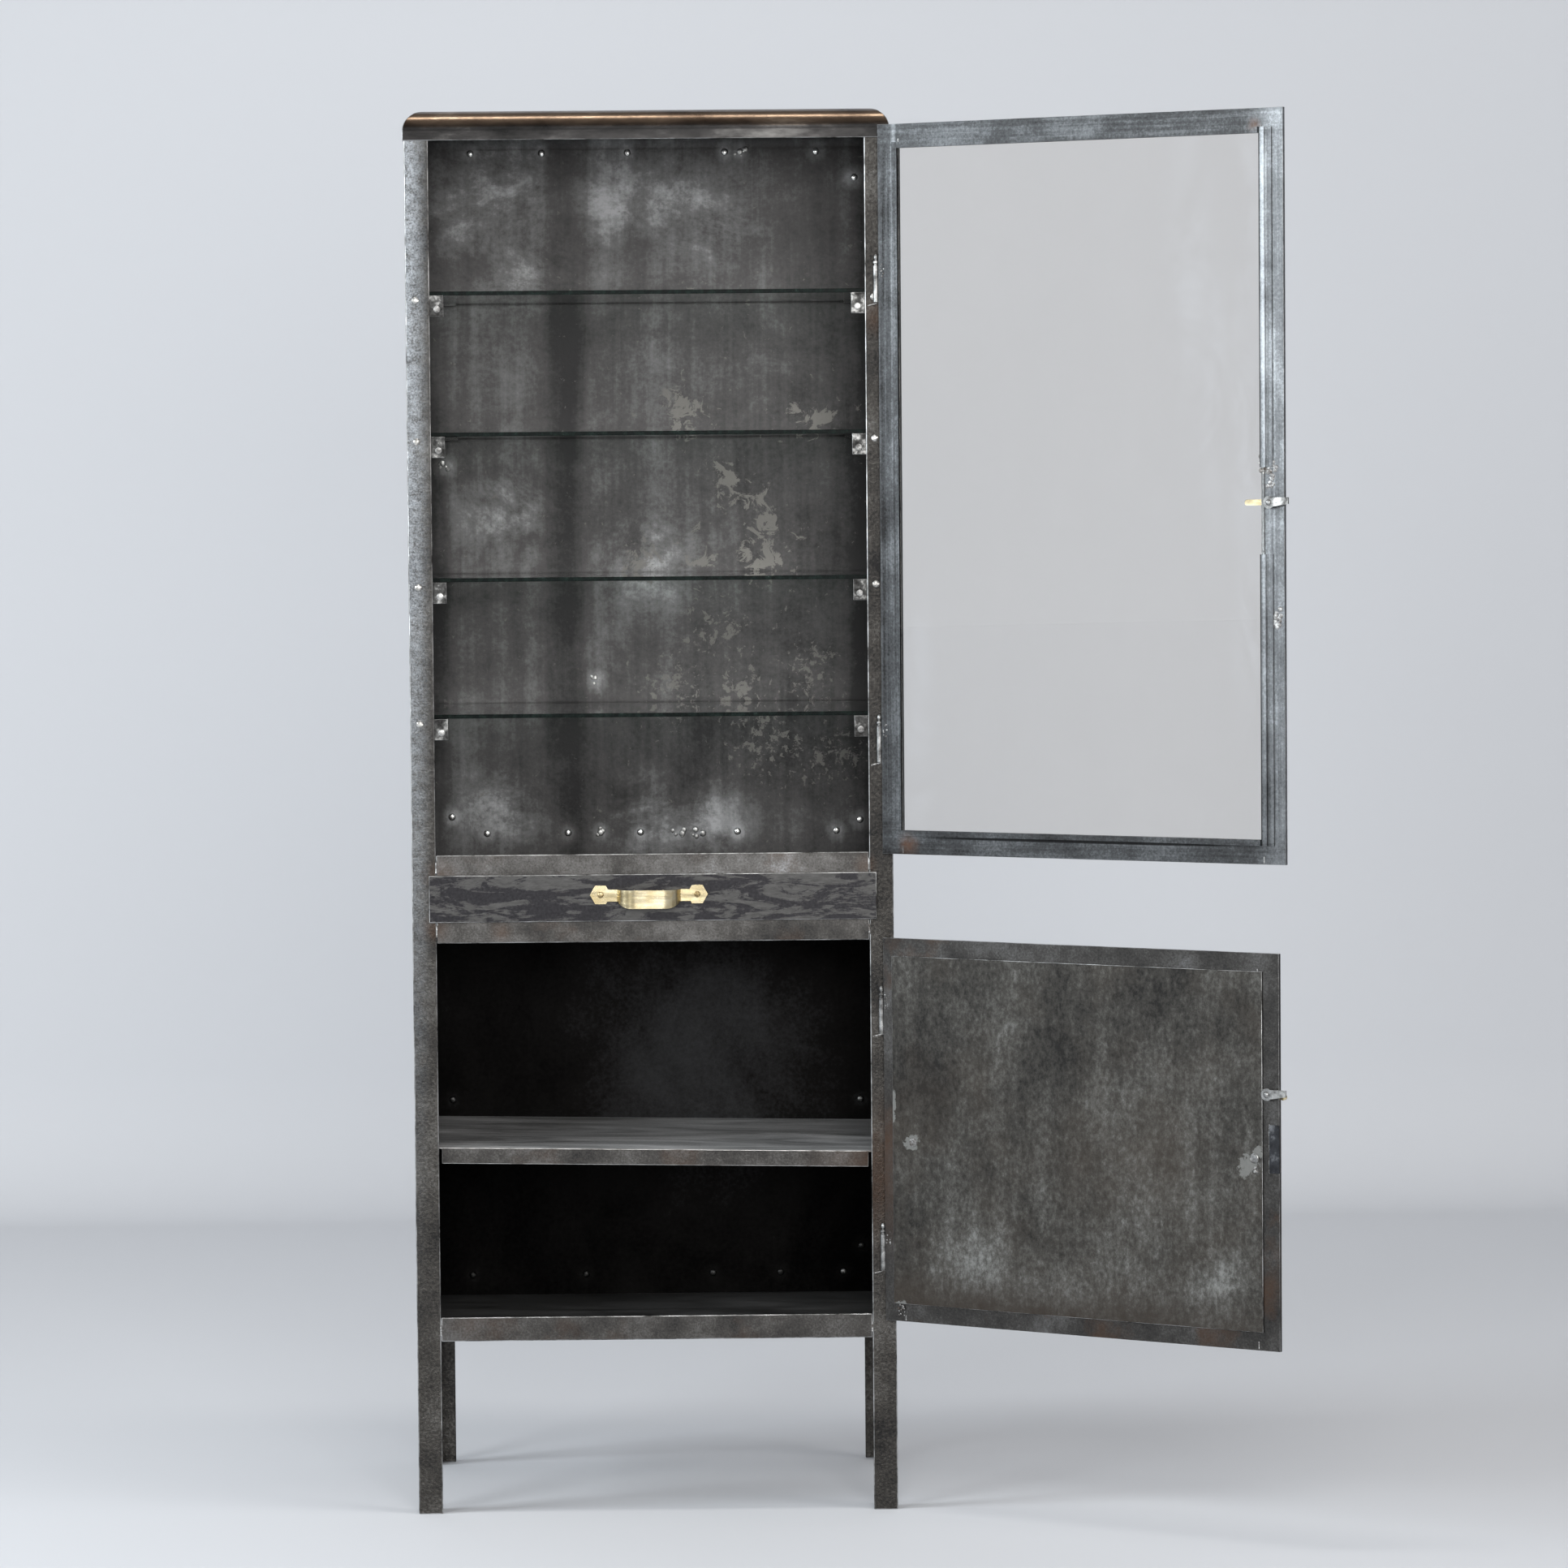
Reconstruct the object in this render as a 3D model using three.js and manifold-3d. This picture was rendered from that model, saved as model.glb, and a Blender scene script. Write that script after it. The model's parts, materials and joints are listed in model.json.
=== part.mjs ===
// Glass door medical cabinet: a welded angle-iron frame on four legs, clad in sheet steel,
// with a glazed upper door, one drawer and a sheet-steel lower door.
// Units are millimetres. +Z is up, the front faces -Y, and the origin is on the floor
// at the middle of the frame's footprint. Both doors stand open, as the cabinet is shown.
import * as THREE from 'three';
import { mergeVertices } from 'three/addons/utils/BufferGeometryUtils.js';
import Module from 'manifold-3d';

// Overall size of the frame
const WIDTH = 600;
const DEPTH = 400;
const HEIGHT = 1750;

// Stock that the cabinet is made of
const ANGLE_LEG = 30;
const ANGLE_THICK = 3;
const ANGLE_TOE = 1.5;
const SHEET = 1.5;
const FIT = 0.3;

// Levels of the front, from the floor up
const LEG_HEIGHT = 217;
const LOWER_OPENING = 469;
const DRAWER_OPENING = 50;

// Rounded sheet cap on top
const CAP_HEIGHT = 37;
const CAP_RADIUS = 26;
const POST_TOP_ROOM = 2;

// Glass shelves, at shares of the upper opening's height, and the bent clips that carry their corners
const GLASS_SHELF_THICK = 5;
const GLASS_SHELF_SHARES = [0.1917, 0.3833, 0.5874, 0.7847];
const GLASS_SHELF_SETBACK = 15;
const GLASS_SHELF_SIDE_ROOM = 2;
const GLASS_SHELF_REAR_ROOM = 10;
const CLIP_HEIGHT = 26;
const CLIP_REACH = 21;
const CLIP_SHOWS = 17;

// Folded steel shelf of the lower compartment, which sits lower on its right side
const STEEL_SHELF_RISE = 208;
const STEEL_SHELF_DROP = 10;
const STEEL_SHELF_SETBACK = 10;
const STEEL_SHELF_REAR_ROOM = 10;
const STEEL_SHELF_SIDE_ROOM = 6;
const STEEL_LIP_HEIGHT = 20;
const STEEL_LIP_INSET = 22;
const BEARER_LEG = 25;
const BEARER_THICK = 2;

// Drawer, its runners and its pull
const DRAWER_FRONT_OVERLAP_SIDE = 9;
const DRAWER_FRONT_OVERLAP_TOP = 5;
const DRAWER_FRONT_OVERLAP_BOTTOM = 4;
const DRAWER_FRONT_THICK = 3;
const DRAWER_FRONT_BEVEL = 0.6;
const TRAY_SIDE_ROOM = 6;
const TRAY_HEIGHT = 42;
const TRAY_LENGTH = 345;
const RUNNER_REACH = 40;
const RUNNER_HEIGHT = 18;
const RUNNER_THICK = 2;
const PULL_LENGTH = 147;
const PULL_OFF_CENTRE = -5;
const PULL_RISE = 4;
const PULL_PLATE = 23;
const PULL_BAND_SPAN = 80;
const PULL_BAND_HEIGHT = 23;
const PULL_BELLY = 17;
const PULL_NECK_HEIGHT = 15;
const PULL_NECK_DROP = 1;
const PULL_REACH = 24;
const PULL_THICK = 2.5;
const PULL_DROP = 5;
const PULL_GROOVE = 0.5;
const PULL_GROOVE_HEIGHT = 1.2;
const PULL_GROOVE_RISES = [15, 18.5];

// Doors, which lie over the frame and swing on barrel hinges on the right
const UPPER_DOOR_OPEN_ANGLE = 148;
const LOWER_DOOR_OPEN_ANGLE = 146;
const DOOR_FRAME_WIDTH = 30;
const DOOR_LEAF = 5;
const DOOR_GAP = 2.2;
const DOOR_OVERLAP_FREE_SIDE = 9;
const UPPER_DOOR_OVERLAP_TOP = 15;
const UPPER_DOOR_OVERLAP_BOTTOM = 2;
const LOWER_DOOR_OVERLAP_TOP = 3;
const LOWER_DOOR_OVERLAP_BOTTOM = 7;
const PANE_THICK = 3;
const PANE_SEAT = 5;
const BEAD_LEG = 2;
const BEAD_COVER = 1.4;
const BEAD_FOOT = 8;
const BEAD_GAP_ABOVE_LATCH = 42;
const BEAD_GAP_BELOW_LATCH = 62;
const DOOR_PANEL_SEAT = 8;
const DOOR_PANEL_HINGE_SEAT = 17;

// Barrel hinges: a pin half on the post and a sleeve half on the door
const HINGE_FROM_SIDE = 16;
const HINGE_RADIUS = 4;
const HINGE_PIN_HALF = 28;
const HINGE_SLEEVE_HALF = 31;
const HINGE_PIN_RADIUS = 2;
const HINGE_PIN_LENGTH = 14;
const HINGE_BORE_RADIUS = 2.35;
const HINGE_FINIAL_HEIGHT = 14;
const HINGE_FINIAL_PROFILE = [
  [1, 1], [0.7, 0.95], [0.7, 0.85], [1, 0.78], [1, 0.62], [0.55, 0.5], [0.75, 0.36], [0.75, 0.16], [0.4, 0],
];
const UPPER_HINGE_FROM_BOTTOM = 142;
const UPPER_HINGE_FROM_TOP = 191;
const LOWER_HINGE_FROM_BOTTOM = 90;
const LOWER_HINGE_FROM_TOP = 92;

// Turn latches: a brass lever outside and a steel tongue inside on one spindle
const SPINDLE_RADIUS = 3;
const SPINDLE_ROOM = 0.4;
const SPINDLE_TIP = 1.2;
const UPPER_LEVER_LENGTH = 38;
const LOWER_LEVER_LENGTH = 19;
const LEVER_WIDTH = 7;
const LEVER_THICK = 5;
const LEVER_BOSS_RADIUS = 6;
const LEVER_BOSS_RISE = 1;
const TONGUE_LENGTH = 26;
const TONGUE_ROOT_WIDTH = 12;
const TONGUE_TIP_WIDTH = 8;
const TONGUE_THICK = 2;
const TONGUE_WEDGE_THICK = 4.5;
const TONGUE_EYE_RADIUS = 7.5;
const TONGUE_BEHIND_FLANGE = 0.5;
const UPPER_LATCH_RISE = 434;
const UPPER_LATCH_INSET = 17;
const LOWER_LATCH_RISE = 310;
const LOWER_LATCH_INSET = 13;
const LOWER_LEVER_DROOP = 14;

// Fineness of round faces, and the distance within which vertices are one
const ARC_STEPS = 6;
const ROUND_STEPS = 20;
const WELD_DISTANCE = 1e-4;

// Levels and places worked out from the sizes above
const HALF_W = WIDTH / 2;
const HALF_D = DEPTH / 2;
const OPEN_X = HALF_W - ANGLE_LEG;
const bottomRailZ = LEG_HEIGHT;
const lowerOpenZ = bottomRailZ + ANGLE_LEG;
const drawerRailZ = lowerOpenZ + LOWER_OPENING;
const drawerOpenZ = drawerRailZ + ANGLE_LEG;
const midRailZ = drawerOpenZ + DRAWER_OPENING;
const upperOpenZ = midRailZ + ANGLE_LEG;
const capZ = HEIGHT - CAP_HEIGHT;
const postTopZ = HEIGHT - CAP_RADIUS - POST_TOP_ROOM;
const shelfLevels = GLASS_SHELF_SHARES.map((share) => upperOpenZ + share * (capZ - upperOpenZ));
const sidePanelX = HALF_W - ANGLE_THICK - FIT - SHEET;
const backPanelY = HALF_D - ANGLE_THICK - FIT - SHEET;
const insideX = sidePanelX - FIT;
const insideFrontY = -HALF_D + ANGLE_THICK + FIT;
const insideRearY = backPanelY - FIT;
const hingeX = HALF_W - HINGE_FROM_SIDE;
const hingeY = -HALF_D - HINGE_RADIUS - FIT;

const X = new THREE.Vector3(1, 0, 0);
const Y = new THREE.Vector3(0, 1, 0);
const Z = new THREE.Vector3(0, 0, 1);
const minus = (v) => v.clone().negate();

const wasm = await Module();
wasm.setup();

// Finishes
const finish = (color, roughness, metalness) =>
  new THREE.MeshStandardMaterial({ color, roughness, metalness });
const gunSteel = finish(0x3b3a39, 0.45, 0.85);
const darkSheet = finish(0x343332, 0.5, 0.8);
const bronzeCap = finish(0x4a372b, 0.35, 0.85);
const brightSteel = finish(0xb4b4ae, 0.3, 0.95);
const brass = finish(0xc9a64f, 0.25, 0.95);
const glass = new THREE.MeshStandardMaterial({
  color: 0xdfe8e4, roughness: 0.05, metalness: 0, transparent: true, opacity: 0.3,
});

// Boolean helpers
function solid(geometry) {
  const bare = geometry.clone();
  bare.deleteAttribute('normal');
  bare.deleteAttribute('uv');
  const welded = mergeVertices(bare, WELD_DISTANCE);
  return new wasm.Manifold(new wasm.Mesh({
    numProp: 3,
    vertProperties: new Float32Array(welded.attributes.position.array),
    triVerts: new Uint32Array(welded.index.array),
  }));
}

function shaped(body) {
  const mesh = body.getMesh();
  const geometry = new THREE.BufferGeometry();
  geometry.setAttribute('position', new THREE.BufferAttribute(new Float32Array(mesh.vertProperties), 3));
  geometry.setIndex(new THREE.BufferAttribute(new Uint32Array(mesh.triVerts), 1));
  return geometry;
}

// A bar of constant section: section x runs along a, section y along b, length along a x b
function bar(section, length, a, b) {
  const options = { depth: length, bevelEnabled: false, curveSegments: ARC_STEPS };
  const geometry = new THREE.ExtrudeGeometry(section, options);
  const basis = new THREE.Matrix4().makeBasis(a, b, a.clone().cross(b));
  return geometry.applyMatrix4(basis);
}

// A flat rectangle given by its two corners
function rectangle(x0, y0, x1, y1) {
  const shape = new THREE.Shape();
  shape.moveTo(x0, y0);
  shape.lineTo(x1, y0);
  shape.lineTo(x1, y1);
  shape.lineTo(x0, y1);
  shape.closePath();
  return shape;
}

// A sheet or block between two corners
function plate(x0, y0, z0, x1, y1, z1) {
  return bar(rectangle(x0, y0, x1, y1), z1 - z0, X, Y).translate(0, 0, z0);
}

// An upright board in the XZ plane, from the face at y0 to the face at y1
function upright(shape, y0, y1) {
  return bar(shape, y1 - y0, X, Z).translate(0, y1, 0);
}

// A rolled angle with rounded toes, its outer corner at the section's origin
function angleSection(leg, thick, toe) {
  const shape = new THREE.Shape();
  shape.moveTo(0, 0);
  shape.lineTo(leg, 0);
  shape.lineTo(leg, thick - toe);
  shape.absarc(leg - toe, thick - toe, toe, 0, Math.PI / 2);
  shape.lineTo(thick, thick);
  shape.lineTo(thick, leg - toe);
  shape.absarc(thick - toe, leg - toe, toe, 0, Math.PI / 2);
  shape.lineTo(0, leg);
  shape.closePath();
  return shape;
}

// A bent strip with legs of different length, its outer corner at the section's origin
function bentSection(legX, legY, thick) {
  const shape = new THREE.Shape();
  shape.moveTo(0, 0);
  shape.lineTo(legX, 0);
  shape.lineTo(legX, thick);
  shape.lineTo(thick, thick);
  shape.lineTo(thick, legY);
  shape.lineTo(0, legY);
  shape.closePath();
  return shape;
}

// A round piece turned about +Z, from a profile of radius and height that runs up the outside
function turned(profile) {
  const points = profile.map(([radius, height]) => new THREE.Vector2(radius, height));
  return new THREE.LatheGeometry(points, ROUND_STEPS).rotateX(Math.PI / 2);
}

// A round rod along +Y from y0 to y1
function rod(radius, y0, y1) {
  return new THREE.CylinderGeometry(radius, radius, y1 - y0, ROUND_STEPS).translate(0, (y0 + y1) / 2, 0);
}

const cabinet = new THREE.Group();

function add(parent, name, geometry, material, x = 0, y = 0, z = 0) {
  const mesh = new THREE.Mesh(geometry, material);
  mesh.name = name;
  mesh.position.set(x, y, z);
  parent.add(mesh);
  return mesh;
}

const angle = angleSection(ANGLE_LEG, ANGLE_THICK, ANGLE_TOE);

// Four corner posts, which end in the legs
function addPosts() {
  const corners = [
    ['post_front_left', -HALF_W, -HALF_D],
    ['post_front_right', HALF_W, -HALF_D],
    ['post_rear_right', HALF_W, HALF_D],
    ['post_rear_left', -HALF_W, HALF_D],
  ];
  corners.forEach(([name, x, y], quarter) => {
    const post = add(cabinet, name, bar(angle, postTopZ, X, Y), gunSteel, x, y, 0);
    post.rotation.z = quarter * Math.PI / 2;
  });
}

// Rails between the posts: the bottom and mid rails stand up as lips, the drawer rail hangs down
function addRails() {
  const acrossLength = 2 * (OPEN_X - FIT);
  const alongLength = DEPTH - 2 * (ANGLE_LEG + FIT);
  const acrossX = -acrossLength / 2;
  const alongY = -alongLength / 2;
  for (const [level, z] of [['bottom', bottomRailZ], ['mid', midRailZ]]) {
    add(cabinet, `front_${level}_rail`, bar(angle, acrossLength, Y, Z), gunSteel, acrossX, -HALF_D, z);
    add(cabinet, `rear_${level}_rail`, bar(angle, acrossLength, Z, minus(Y)), gunSteel, acrossX, HALF_D, z);
    add(cabinet, `left_${level}_rail`, bar(angle, alongLength, Z, X), gunSteel, -HALF_W, alongY, z);
    add(cabinet, `right_${level}_rail`, bar(angle, alongLength, minus(X), Z), gunSteel, HALF_W, alongY, z);
  }
  const hanging = bar(angle, acrossLength, minus(Z), Y);
  add(cabinet, 'front_drawer_rail', hanging, gunSteel, acrossX, -HALF_D, drawerOpenZ);
}

// Bent tabs on the back panel that carry the rear corners of the glass shelves
function rearTabs() {
  const width = sidePanelX - FIT - OPEN_X + CLIP_SHOWS;
  const tab = bar(bentSection(CLIP_HEIGHT, CLIP_REACH, SHEET), width, minus(Z), minus(Y));
  const places = [];
  for (const z of shelfLevels) {
    for (const x of [-insideX, insideX - width]) {
      places.push(tab.clone().translate(x + width, backPanelY + SHEET / 2, z - FIT));
    }
  }
  return places;
}

// Sheet cladding: sides, backs and floors stand on the rails' inner legs
function addPanels() {
  const lowerFloorZ = bottomRailZ + ANGLE_THICK + FIT;
  const upperFloorZ = midRailZ + ANGLE_THICK + FIT;
  const spans = [
    ['lower', lowerFloorZ, midRailZ - FIT],
    ['upper', upperFloorZ, postTopZ],
  ];
  for (const [level, z0, z1] of spans) {
    for (const [side, x] of [['left', -sidePanelX - SHEET], ['right', sidePanelX]]) {
      const sheet = plate(x, insideFrontY, z0, x + SHEET, insideRearY, z1);
      add(cabinet, `${side}_panel_${level}`, sheet, darkSheet);
    }
    const floor = plate(-insideX, insideFrontY, z0, insideX, insideRearY, z0 + SHEET);
    add(cabinet, `${level}_floor`, floor, darkSheet);
    const halfBack = sidePanelX + SHEET;
    const back = plate(-halfBack, backPanelY, z0, halfBack, backPanelY + SHEET, z1);
    const tabs = level === 'upper' ? rearTabs() : [];
    const backBody = tabs.reduce((body, tab) => body.add(solid(tab)), solid(back));
    add(cabinet, `back_panel_${level}`, shaped(backBody), darkSheet);
  }
}

// Rectangle with two rounded upper corners, centred on its width
function bullnose(width, bottom, top, radius) {
  const half = width / 2;
  const shape = new THREE.Shape();
  shape.moveTo(-half, bottom);
  shape.lineTo(half, bottom);
  shape.lineTo(half, top - radius);
  shape.absarc(half - radius, top - radius, radius, 0, Math.PI / 2);
  shape.lineTo(radius - half, top);
  shape.absarc(radius - half, top - radius, radius, Math.PI / 2, Math.PI);
  shape.closePath();
  return shape;
}

// A block whose four upper edges are rounded and meet in mitres at the corners
function roundedBlock(width, depth, bottom, top, radius) {
  const across = bar(bullnose(depth, bottom, top, radius), width, Y, Z).translate(-width / 2, 0, 0);
  const along = bar(bullnose(width, bottom, top, radius), depth, X, Z).translate(0, depth / 2, 0);
  return solid(across).intersect(solid(along));
}

// Pressed sheet cap, open below, that fits over the tops of the posts
function addCap() {
  const innerW = WIDTH + 2 * FIT;
  const innerD = DEPTH + 2 * FIT;
  const outer = roundedBlock(innerW + 2 * SHEET, innerD + 2 * SHEET, capZ, HEIGHT, CAP_RADIUS);
  const inner = roundedBlock(innerW, innerD, capZ - SHEET, HEIGHT - SHEET, CAP_RADIUS - SHEET);
  add(cabinet, 'top_cap', shaped(outer.subtract(inner)), bronzeCap);
}

// Four glass shelves, each on two front clips and two rear tabs
function addGlassShelves() {
  const halfGlass = sidePanelX - GLASS_SHELF_SIDE_ROOM;
  const frontY = -HALF_D + GLASS_SHELF_SETBACK;
  const rearY = backPanelY - GLASS_SHELF_REAR_ROOM;
  const clipWidth = insideX - OPEN_X + CLIP_SHOWS;
  const clip = bar(bentSection(CLIP_REACH, CLIP_HEIGHT, SHEET), clipWidth, Y, minus(Z));
  shelfLevels.forEach((z, index) => {
    const number = index + 1;
    const sheet = plate(-halfGlass, frontY, z, halfGlass, rearY, z + GLASS_SHELF_THICK);
    add(cabinet, `glass_shelf_${number}`, sheet, glass);
    const left = clipWidth - insideX;
    add(cabinet, `shelf_clip_${number}_left`, clip, brightSteel, left, insideFrontY, z - FIT);
    add(cabinet, `shelf_clip_${number}_right`, clip, brightSteel, insideX, insideFrontY, z - FIT);
  });
}

// Folded steel shelf with a front lip, and the two angle bearers under its ends
function addSteelShelf() {
  const halfShelf = insideX - STEEL_SHELF_SIDE_ROOM;
  const frontY = -HALF_D + STEEL_SHELF_SETBACK;
  const depth = insideRearY - STEEL_SHELF_REAR_ROOM - frontY;
  const tilt = Math.atan2(STEEL_SHELF_DROP, 2 * halfShelf);
  const topZ = lowerOpenZ + STEEL_SHELF_RISE;
  const folded = bar(bentSection(STEEL_LIP_HEIGHT, depth, SHEET), 2 * halfShelf, minus(Z), Y);
  const notch = plate(0, -SHEET, -2 * STEEL_LIP_HEIGHT, STEEL_LIP_INSET, 2 * SHEET, -SHEET);
  const body = solid(folded)
    .subtract(solid(notch))
    .subtract(solid(notch.clone().translate(2 * halfShelf - STEEL_LIP_INSET, 0, 0)));
  const sheet = shaped(body).translate(-halfShelf, 0, 0);
  const shelf = add(cabinet, 'steel_shelf', sheet, gunSteel, 0, frontY, topZ);
  shelf.rotation.y = tilt;

  const bearerLength = DEPTH - 2 * ANGLE_LEG;
  const bearer = angleSection(BEARER_LEG, BEARER_THICK, BEARER_THICK / 2);
  const undersideAt = (x) => topZ - SHEET / Math.cos(tilt) - x * Math.tan(tilt) - FIT;
  const leftZ = undersideAt(BEARER_LEG - insideX);
  const rightZ = undersideAt(halfShelf);
  const y = -bearerLength / 2;
  const leftBar = bar(bearer, bearerLength, X, minus(Z));
  const rightBar = bar(bearer, bearerLength, minus(Z), minus(X));
  add(cabinet, 'shelf_bearer_left', leftBar, gunSteel, -insideX, y, leftZ);
  add(cabinet, 'shelf_bearer_right', rightBar, gunSteel, insideX, y, rightZ);
}

// Runners that carry the drawer, set on the drawer rail against the side panels
function addRunners() {
  const length = insideRearY - insideFrontY;
  const z = drawerOpenZ + FIT;
  const leftBar = bar(bentSection(RUNNER_HEIGHT, RUNNER_REACH, RUNNER_THICK), length, Z, X);
  const rightBar = bar(bentSection(RUNNER_REACH, RUNNER_HEIGHT, RUNNER_THICK), length, minus(X), Z);
  add(cabinet, 'drawer_runner_left', leftBar, gunSteel, -insideX, insideFrontY, z);
  add(cabinet, 'drawer_runner_right', rightBar, gunSteel, insideX, insideFrontY, z);
}

// Open tray, front board and brass pull of the drawer
function addDrawer() {
  const trayX = OPEN_X - TRAY_SIDE_ROOM;
  const trayZ = drawerOpenZ + FIT + RUNNER_THICK + FIT;
  const trayFrontY = -HALF_D;
  const block = plate(-trayX, trayFrontY, trayZ, trayX, trayFrontY + TRAY_LENGTH, trayZ + TRAY_HEIGHT);
  const hollow = plate(
    SHEET - trayX, trayFrontY + SHEET, trayZ + SHEET,
    trayX - SHEET, trayFrontY + TRAY_LENGTH - SHEET, trayZ + 2 * TRAY_HEIGHT,
  );
  add(cabinet, 'drawer_tray', shaped(solid(block).subtract(solid(hollow))), darkSheet);

  const bevel = DRAWER_FRONT_BEVEL;
  const frontX = OPEN_X + DRAWER_FRONT_OVERLAP_SIDE - bevel;
  const frontZ0 = drawerOpenZ - DRAWER_FRONT_OVERLAP_BOTTOM;
  const frontZ1 = midRailZ + DRAWER_FRONT_OVERLAP_TOP;
  const outline = rectangle(-frontX, frontZ0 + bevel, frontX, frontZ1 - bevel);
  const board = new THREE.ExtrudeGeometry(outline, {
    depth: DRAWER_FRONT_THICK - 2 * bevel, bevelSize: bevel, bevelThickness: bevel, bevelSegments: 1,
  });
  board.rotateX(Math.PI / 2);
  const boardRearY = -HALF_D - FIT;
  add(cabinet, 'drawer_front', board, darkSheet, 0, boardRearY - bevel, 0);

  const pullY = boardRearY - DRAWER_FRONT_THICK - FIT;
  const pullZ = (frontZ0 + frontZ1) / 2 + PULL_RISE;
  add(cabinet, 'drawer_pull', pull(), brass, PULL_OFF_CENTRE, pullY, pullZ);
}

// Hexagon plate with flats above and below
function hexagon(centreX, across) {
  const shape = new THREE.Shape();
  const corner = across / Math.sqrt(3);
  for (let i = 0; i < 6; i += 1) {
    const turn = i * Math.PI / 3;
    const point = [centreX + corner * Math.cos(turn), corner * Math.sin(turn)];
    if (i === 0) shape.moveTo(...point);
    else shape.lineTo(...point);
  }
  shape.closePath();
  return shape;
}

// Bow of the pull seen from above: feet on the board, quarter bends and a flat grip
function bow(span, reach, thick) {
  const half = span / 2;
  const bend = reach;
  const shape = new THREE.Shape();
  shape.moveTo(-half, 0);
  shape.absellipse(-half + bend, 0, bend, reach, Math.PI, Math.PI * 1.5);
  shape.absellipse(half - bend, 0, bend, reach, Math.PI * 1.5, Math.PI * 2);
  shape.lineTo(half - thick, 0);
  shape.absellipse(half - bend, 0, bend - thick, reach - thick, Math.PI * 2, Math.PI * 1.5, true);
  shape.absellipse(-half + bend, 0, bend - thick, reach - thick, Math.PI * 1.5, Math.PI, true);
  shape.closePath();
  return shape;
}

// Bow of the pull seen from the front: as high as the necks at its ends, with a belly below
function bellied(end, neckZ, bandZ) {
  const half = PULL_BAND_SPAN / 2;
  const shape = new THREE.Shape();
  shape.moveTo(-end, neckZ);
  shape.lineTo(-half, neckZ);
  shape.quadraticCurveTo(PULL_BELLY / 2 - half, bandZ, PULL_BELLY - half, bandZ);
  shape.lineTo(half - PULL_BELLY, bandZ);
  shape.quadraticCurveTo(half - PULL_BELLY / 2, bandZ, half, neckZ);
  shape.lineTo(end, neckZ);
  shape.lineTo(end, bandZ + 2 * PULL_BAND_HEIGHT);
  shape.lineTo(-end, bandZ + 2 * PULL_BAND_HEIGHT);
  shape.closePath();
  return shape;
}

// Brass strap pull: a bow with two pressed grooves, necks and two hexagon plates
function pull() {
  const plateX = PULL_LENGTH / 2 - PULL_PLATE / Math.sqrt(3);
  const neckEnd = (PULL_BAND_SPAN - PULL_THICK) / 2;
  const neckZ = -PULL_NECK_HEIGHT / 2 - PULL_NECK_DROP;
  const bandZ = -PULL_BAND_HEIGHT / 2 - PULL_DROP;
  const beyond = 2 * PULL_THICK;
  const strap = bar(bow(PULL_BAND_SPAN, PULL_REACH, PULL_THICK), PULL_BAND_HEIGHT, X, Y);
  const front = upright(bellied(PULL_BAND_SPAN / 2 + beyond, neckZ, bandZ), -2 * PULL_REACH, beyond);
  let body = solid(strap.translate(0, 0, bandZ)).intersect(solid(front));
  const cutter = bow(PULL_BAND_SPAN + 2 * beyond, PULL_REACH + beyond, beyond + PULL_GROOVE);
  const groove = solid(bar(cutter, PULL_GROOVE_HEIGHT, X, Y));
  for (const rise of PULL_GROOVE_RISES) {
    body = body.subtract(groove.translate([0, 0, bandZ + rise]));
  }
  for (const side of [-1, 1]) {
    const ends = [side * plateX, side * neckEnd].sort((a, b) => a - b);
    const neck = rectangle(ends[0], neckZ, ends[1], neckZ + PULL_NECK_HEIGHT);
    const plateAndNeck = solid(upright(hexagon(side * plateX, PULL_PLATE), -PULL_THICK, 0))
      .add(solid(upright(neck, -PULL_THICK, 0)));
    body = body.add(plateAndNeck);
  }
  return shaped(body);
}

// A door hangs in a group on its hinge axis: closed it runs along -X, and it is turned open
function doorGroup(bottomZ, openAngle) {
  const group = new THREE.Group();
  group.position.set(hingeX, hingeY, bottomZ);
  group.rotation.z = THREE.MathUtils.degToRad(openAngle);
  cabinet.add(group);
  return group;
}

const doorInnerY = -HALF_D - DOOR_GAP - hingeY;
const doorOuterY = doorInnerY - DOOR_LEAF;
const doorHingeX = -HINGE_RADIUS - FIT;
const doorFreeX = -hingeX - OPEN_X - DOOR_OVERLAP_FREE_SIDE;

// Rectangular ring inset from the door's edges by two distances
function ring(height, outerInset, innerInset) {
  const outer = rectangle(
    doorFreeX + outerInset, outerInset, doorHingeX - outerInset, height - outerInset,
  );
  outer.holes.push(rectangle(
    doorFreeX + innerInset, innerInset, doorHingeX - innerInset, height - innerInset,
  ));
  return outer;
}

// Board inset from the door's edges
function inset(height, distance) {
  return rectangle(doorFreeX + distance, distance, doorHingeX - distance, height - distance);
}

// Bore for a latch spindle, reaching past both faces of what it goes through
function spindleBore(y0, y1) {
  return rod(SPINDLE_RADIUS + SPINDLE_ROOM, y0 - SPINDLE_RADIUS, y1 + SPINDLE_RADIUS);
}

// Welded frame of a door, bored for the latch spindle
function addDoorFrame(group, name, height, latchX, latchZ) {
  const frame = solid(upright(ring(height, 0, DOOR_FRAME_WIDTH), doorOuterY, doorInnerY));
  const bore = spindleBore(doorOuterY, doorInnerY).translate(latchX, 0, latchZ);
  add(group, name, shaped(frame.subtract(solid(bore))), gunSteel);
}

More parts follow.
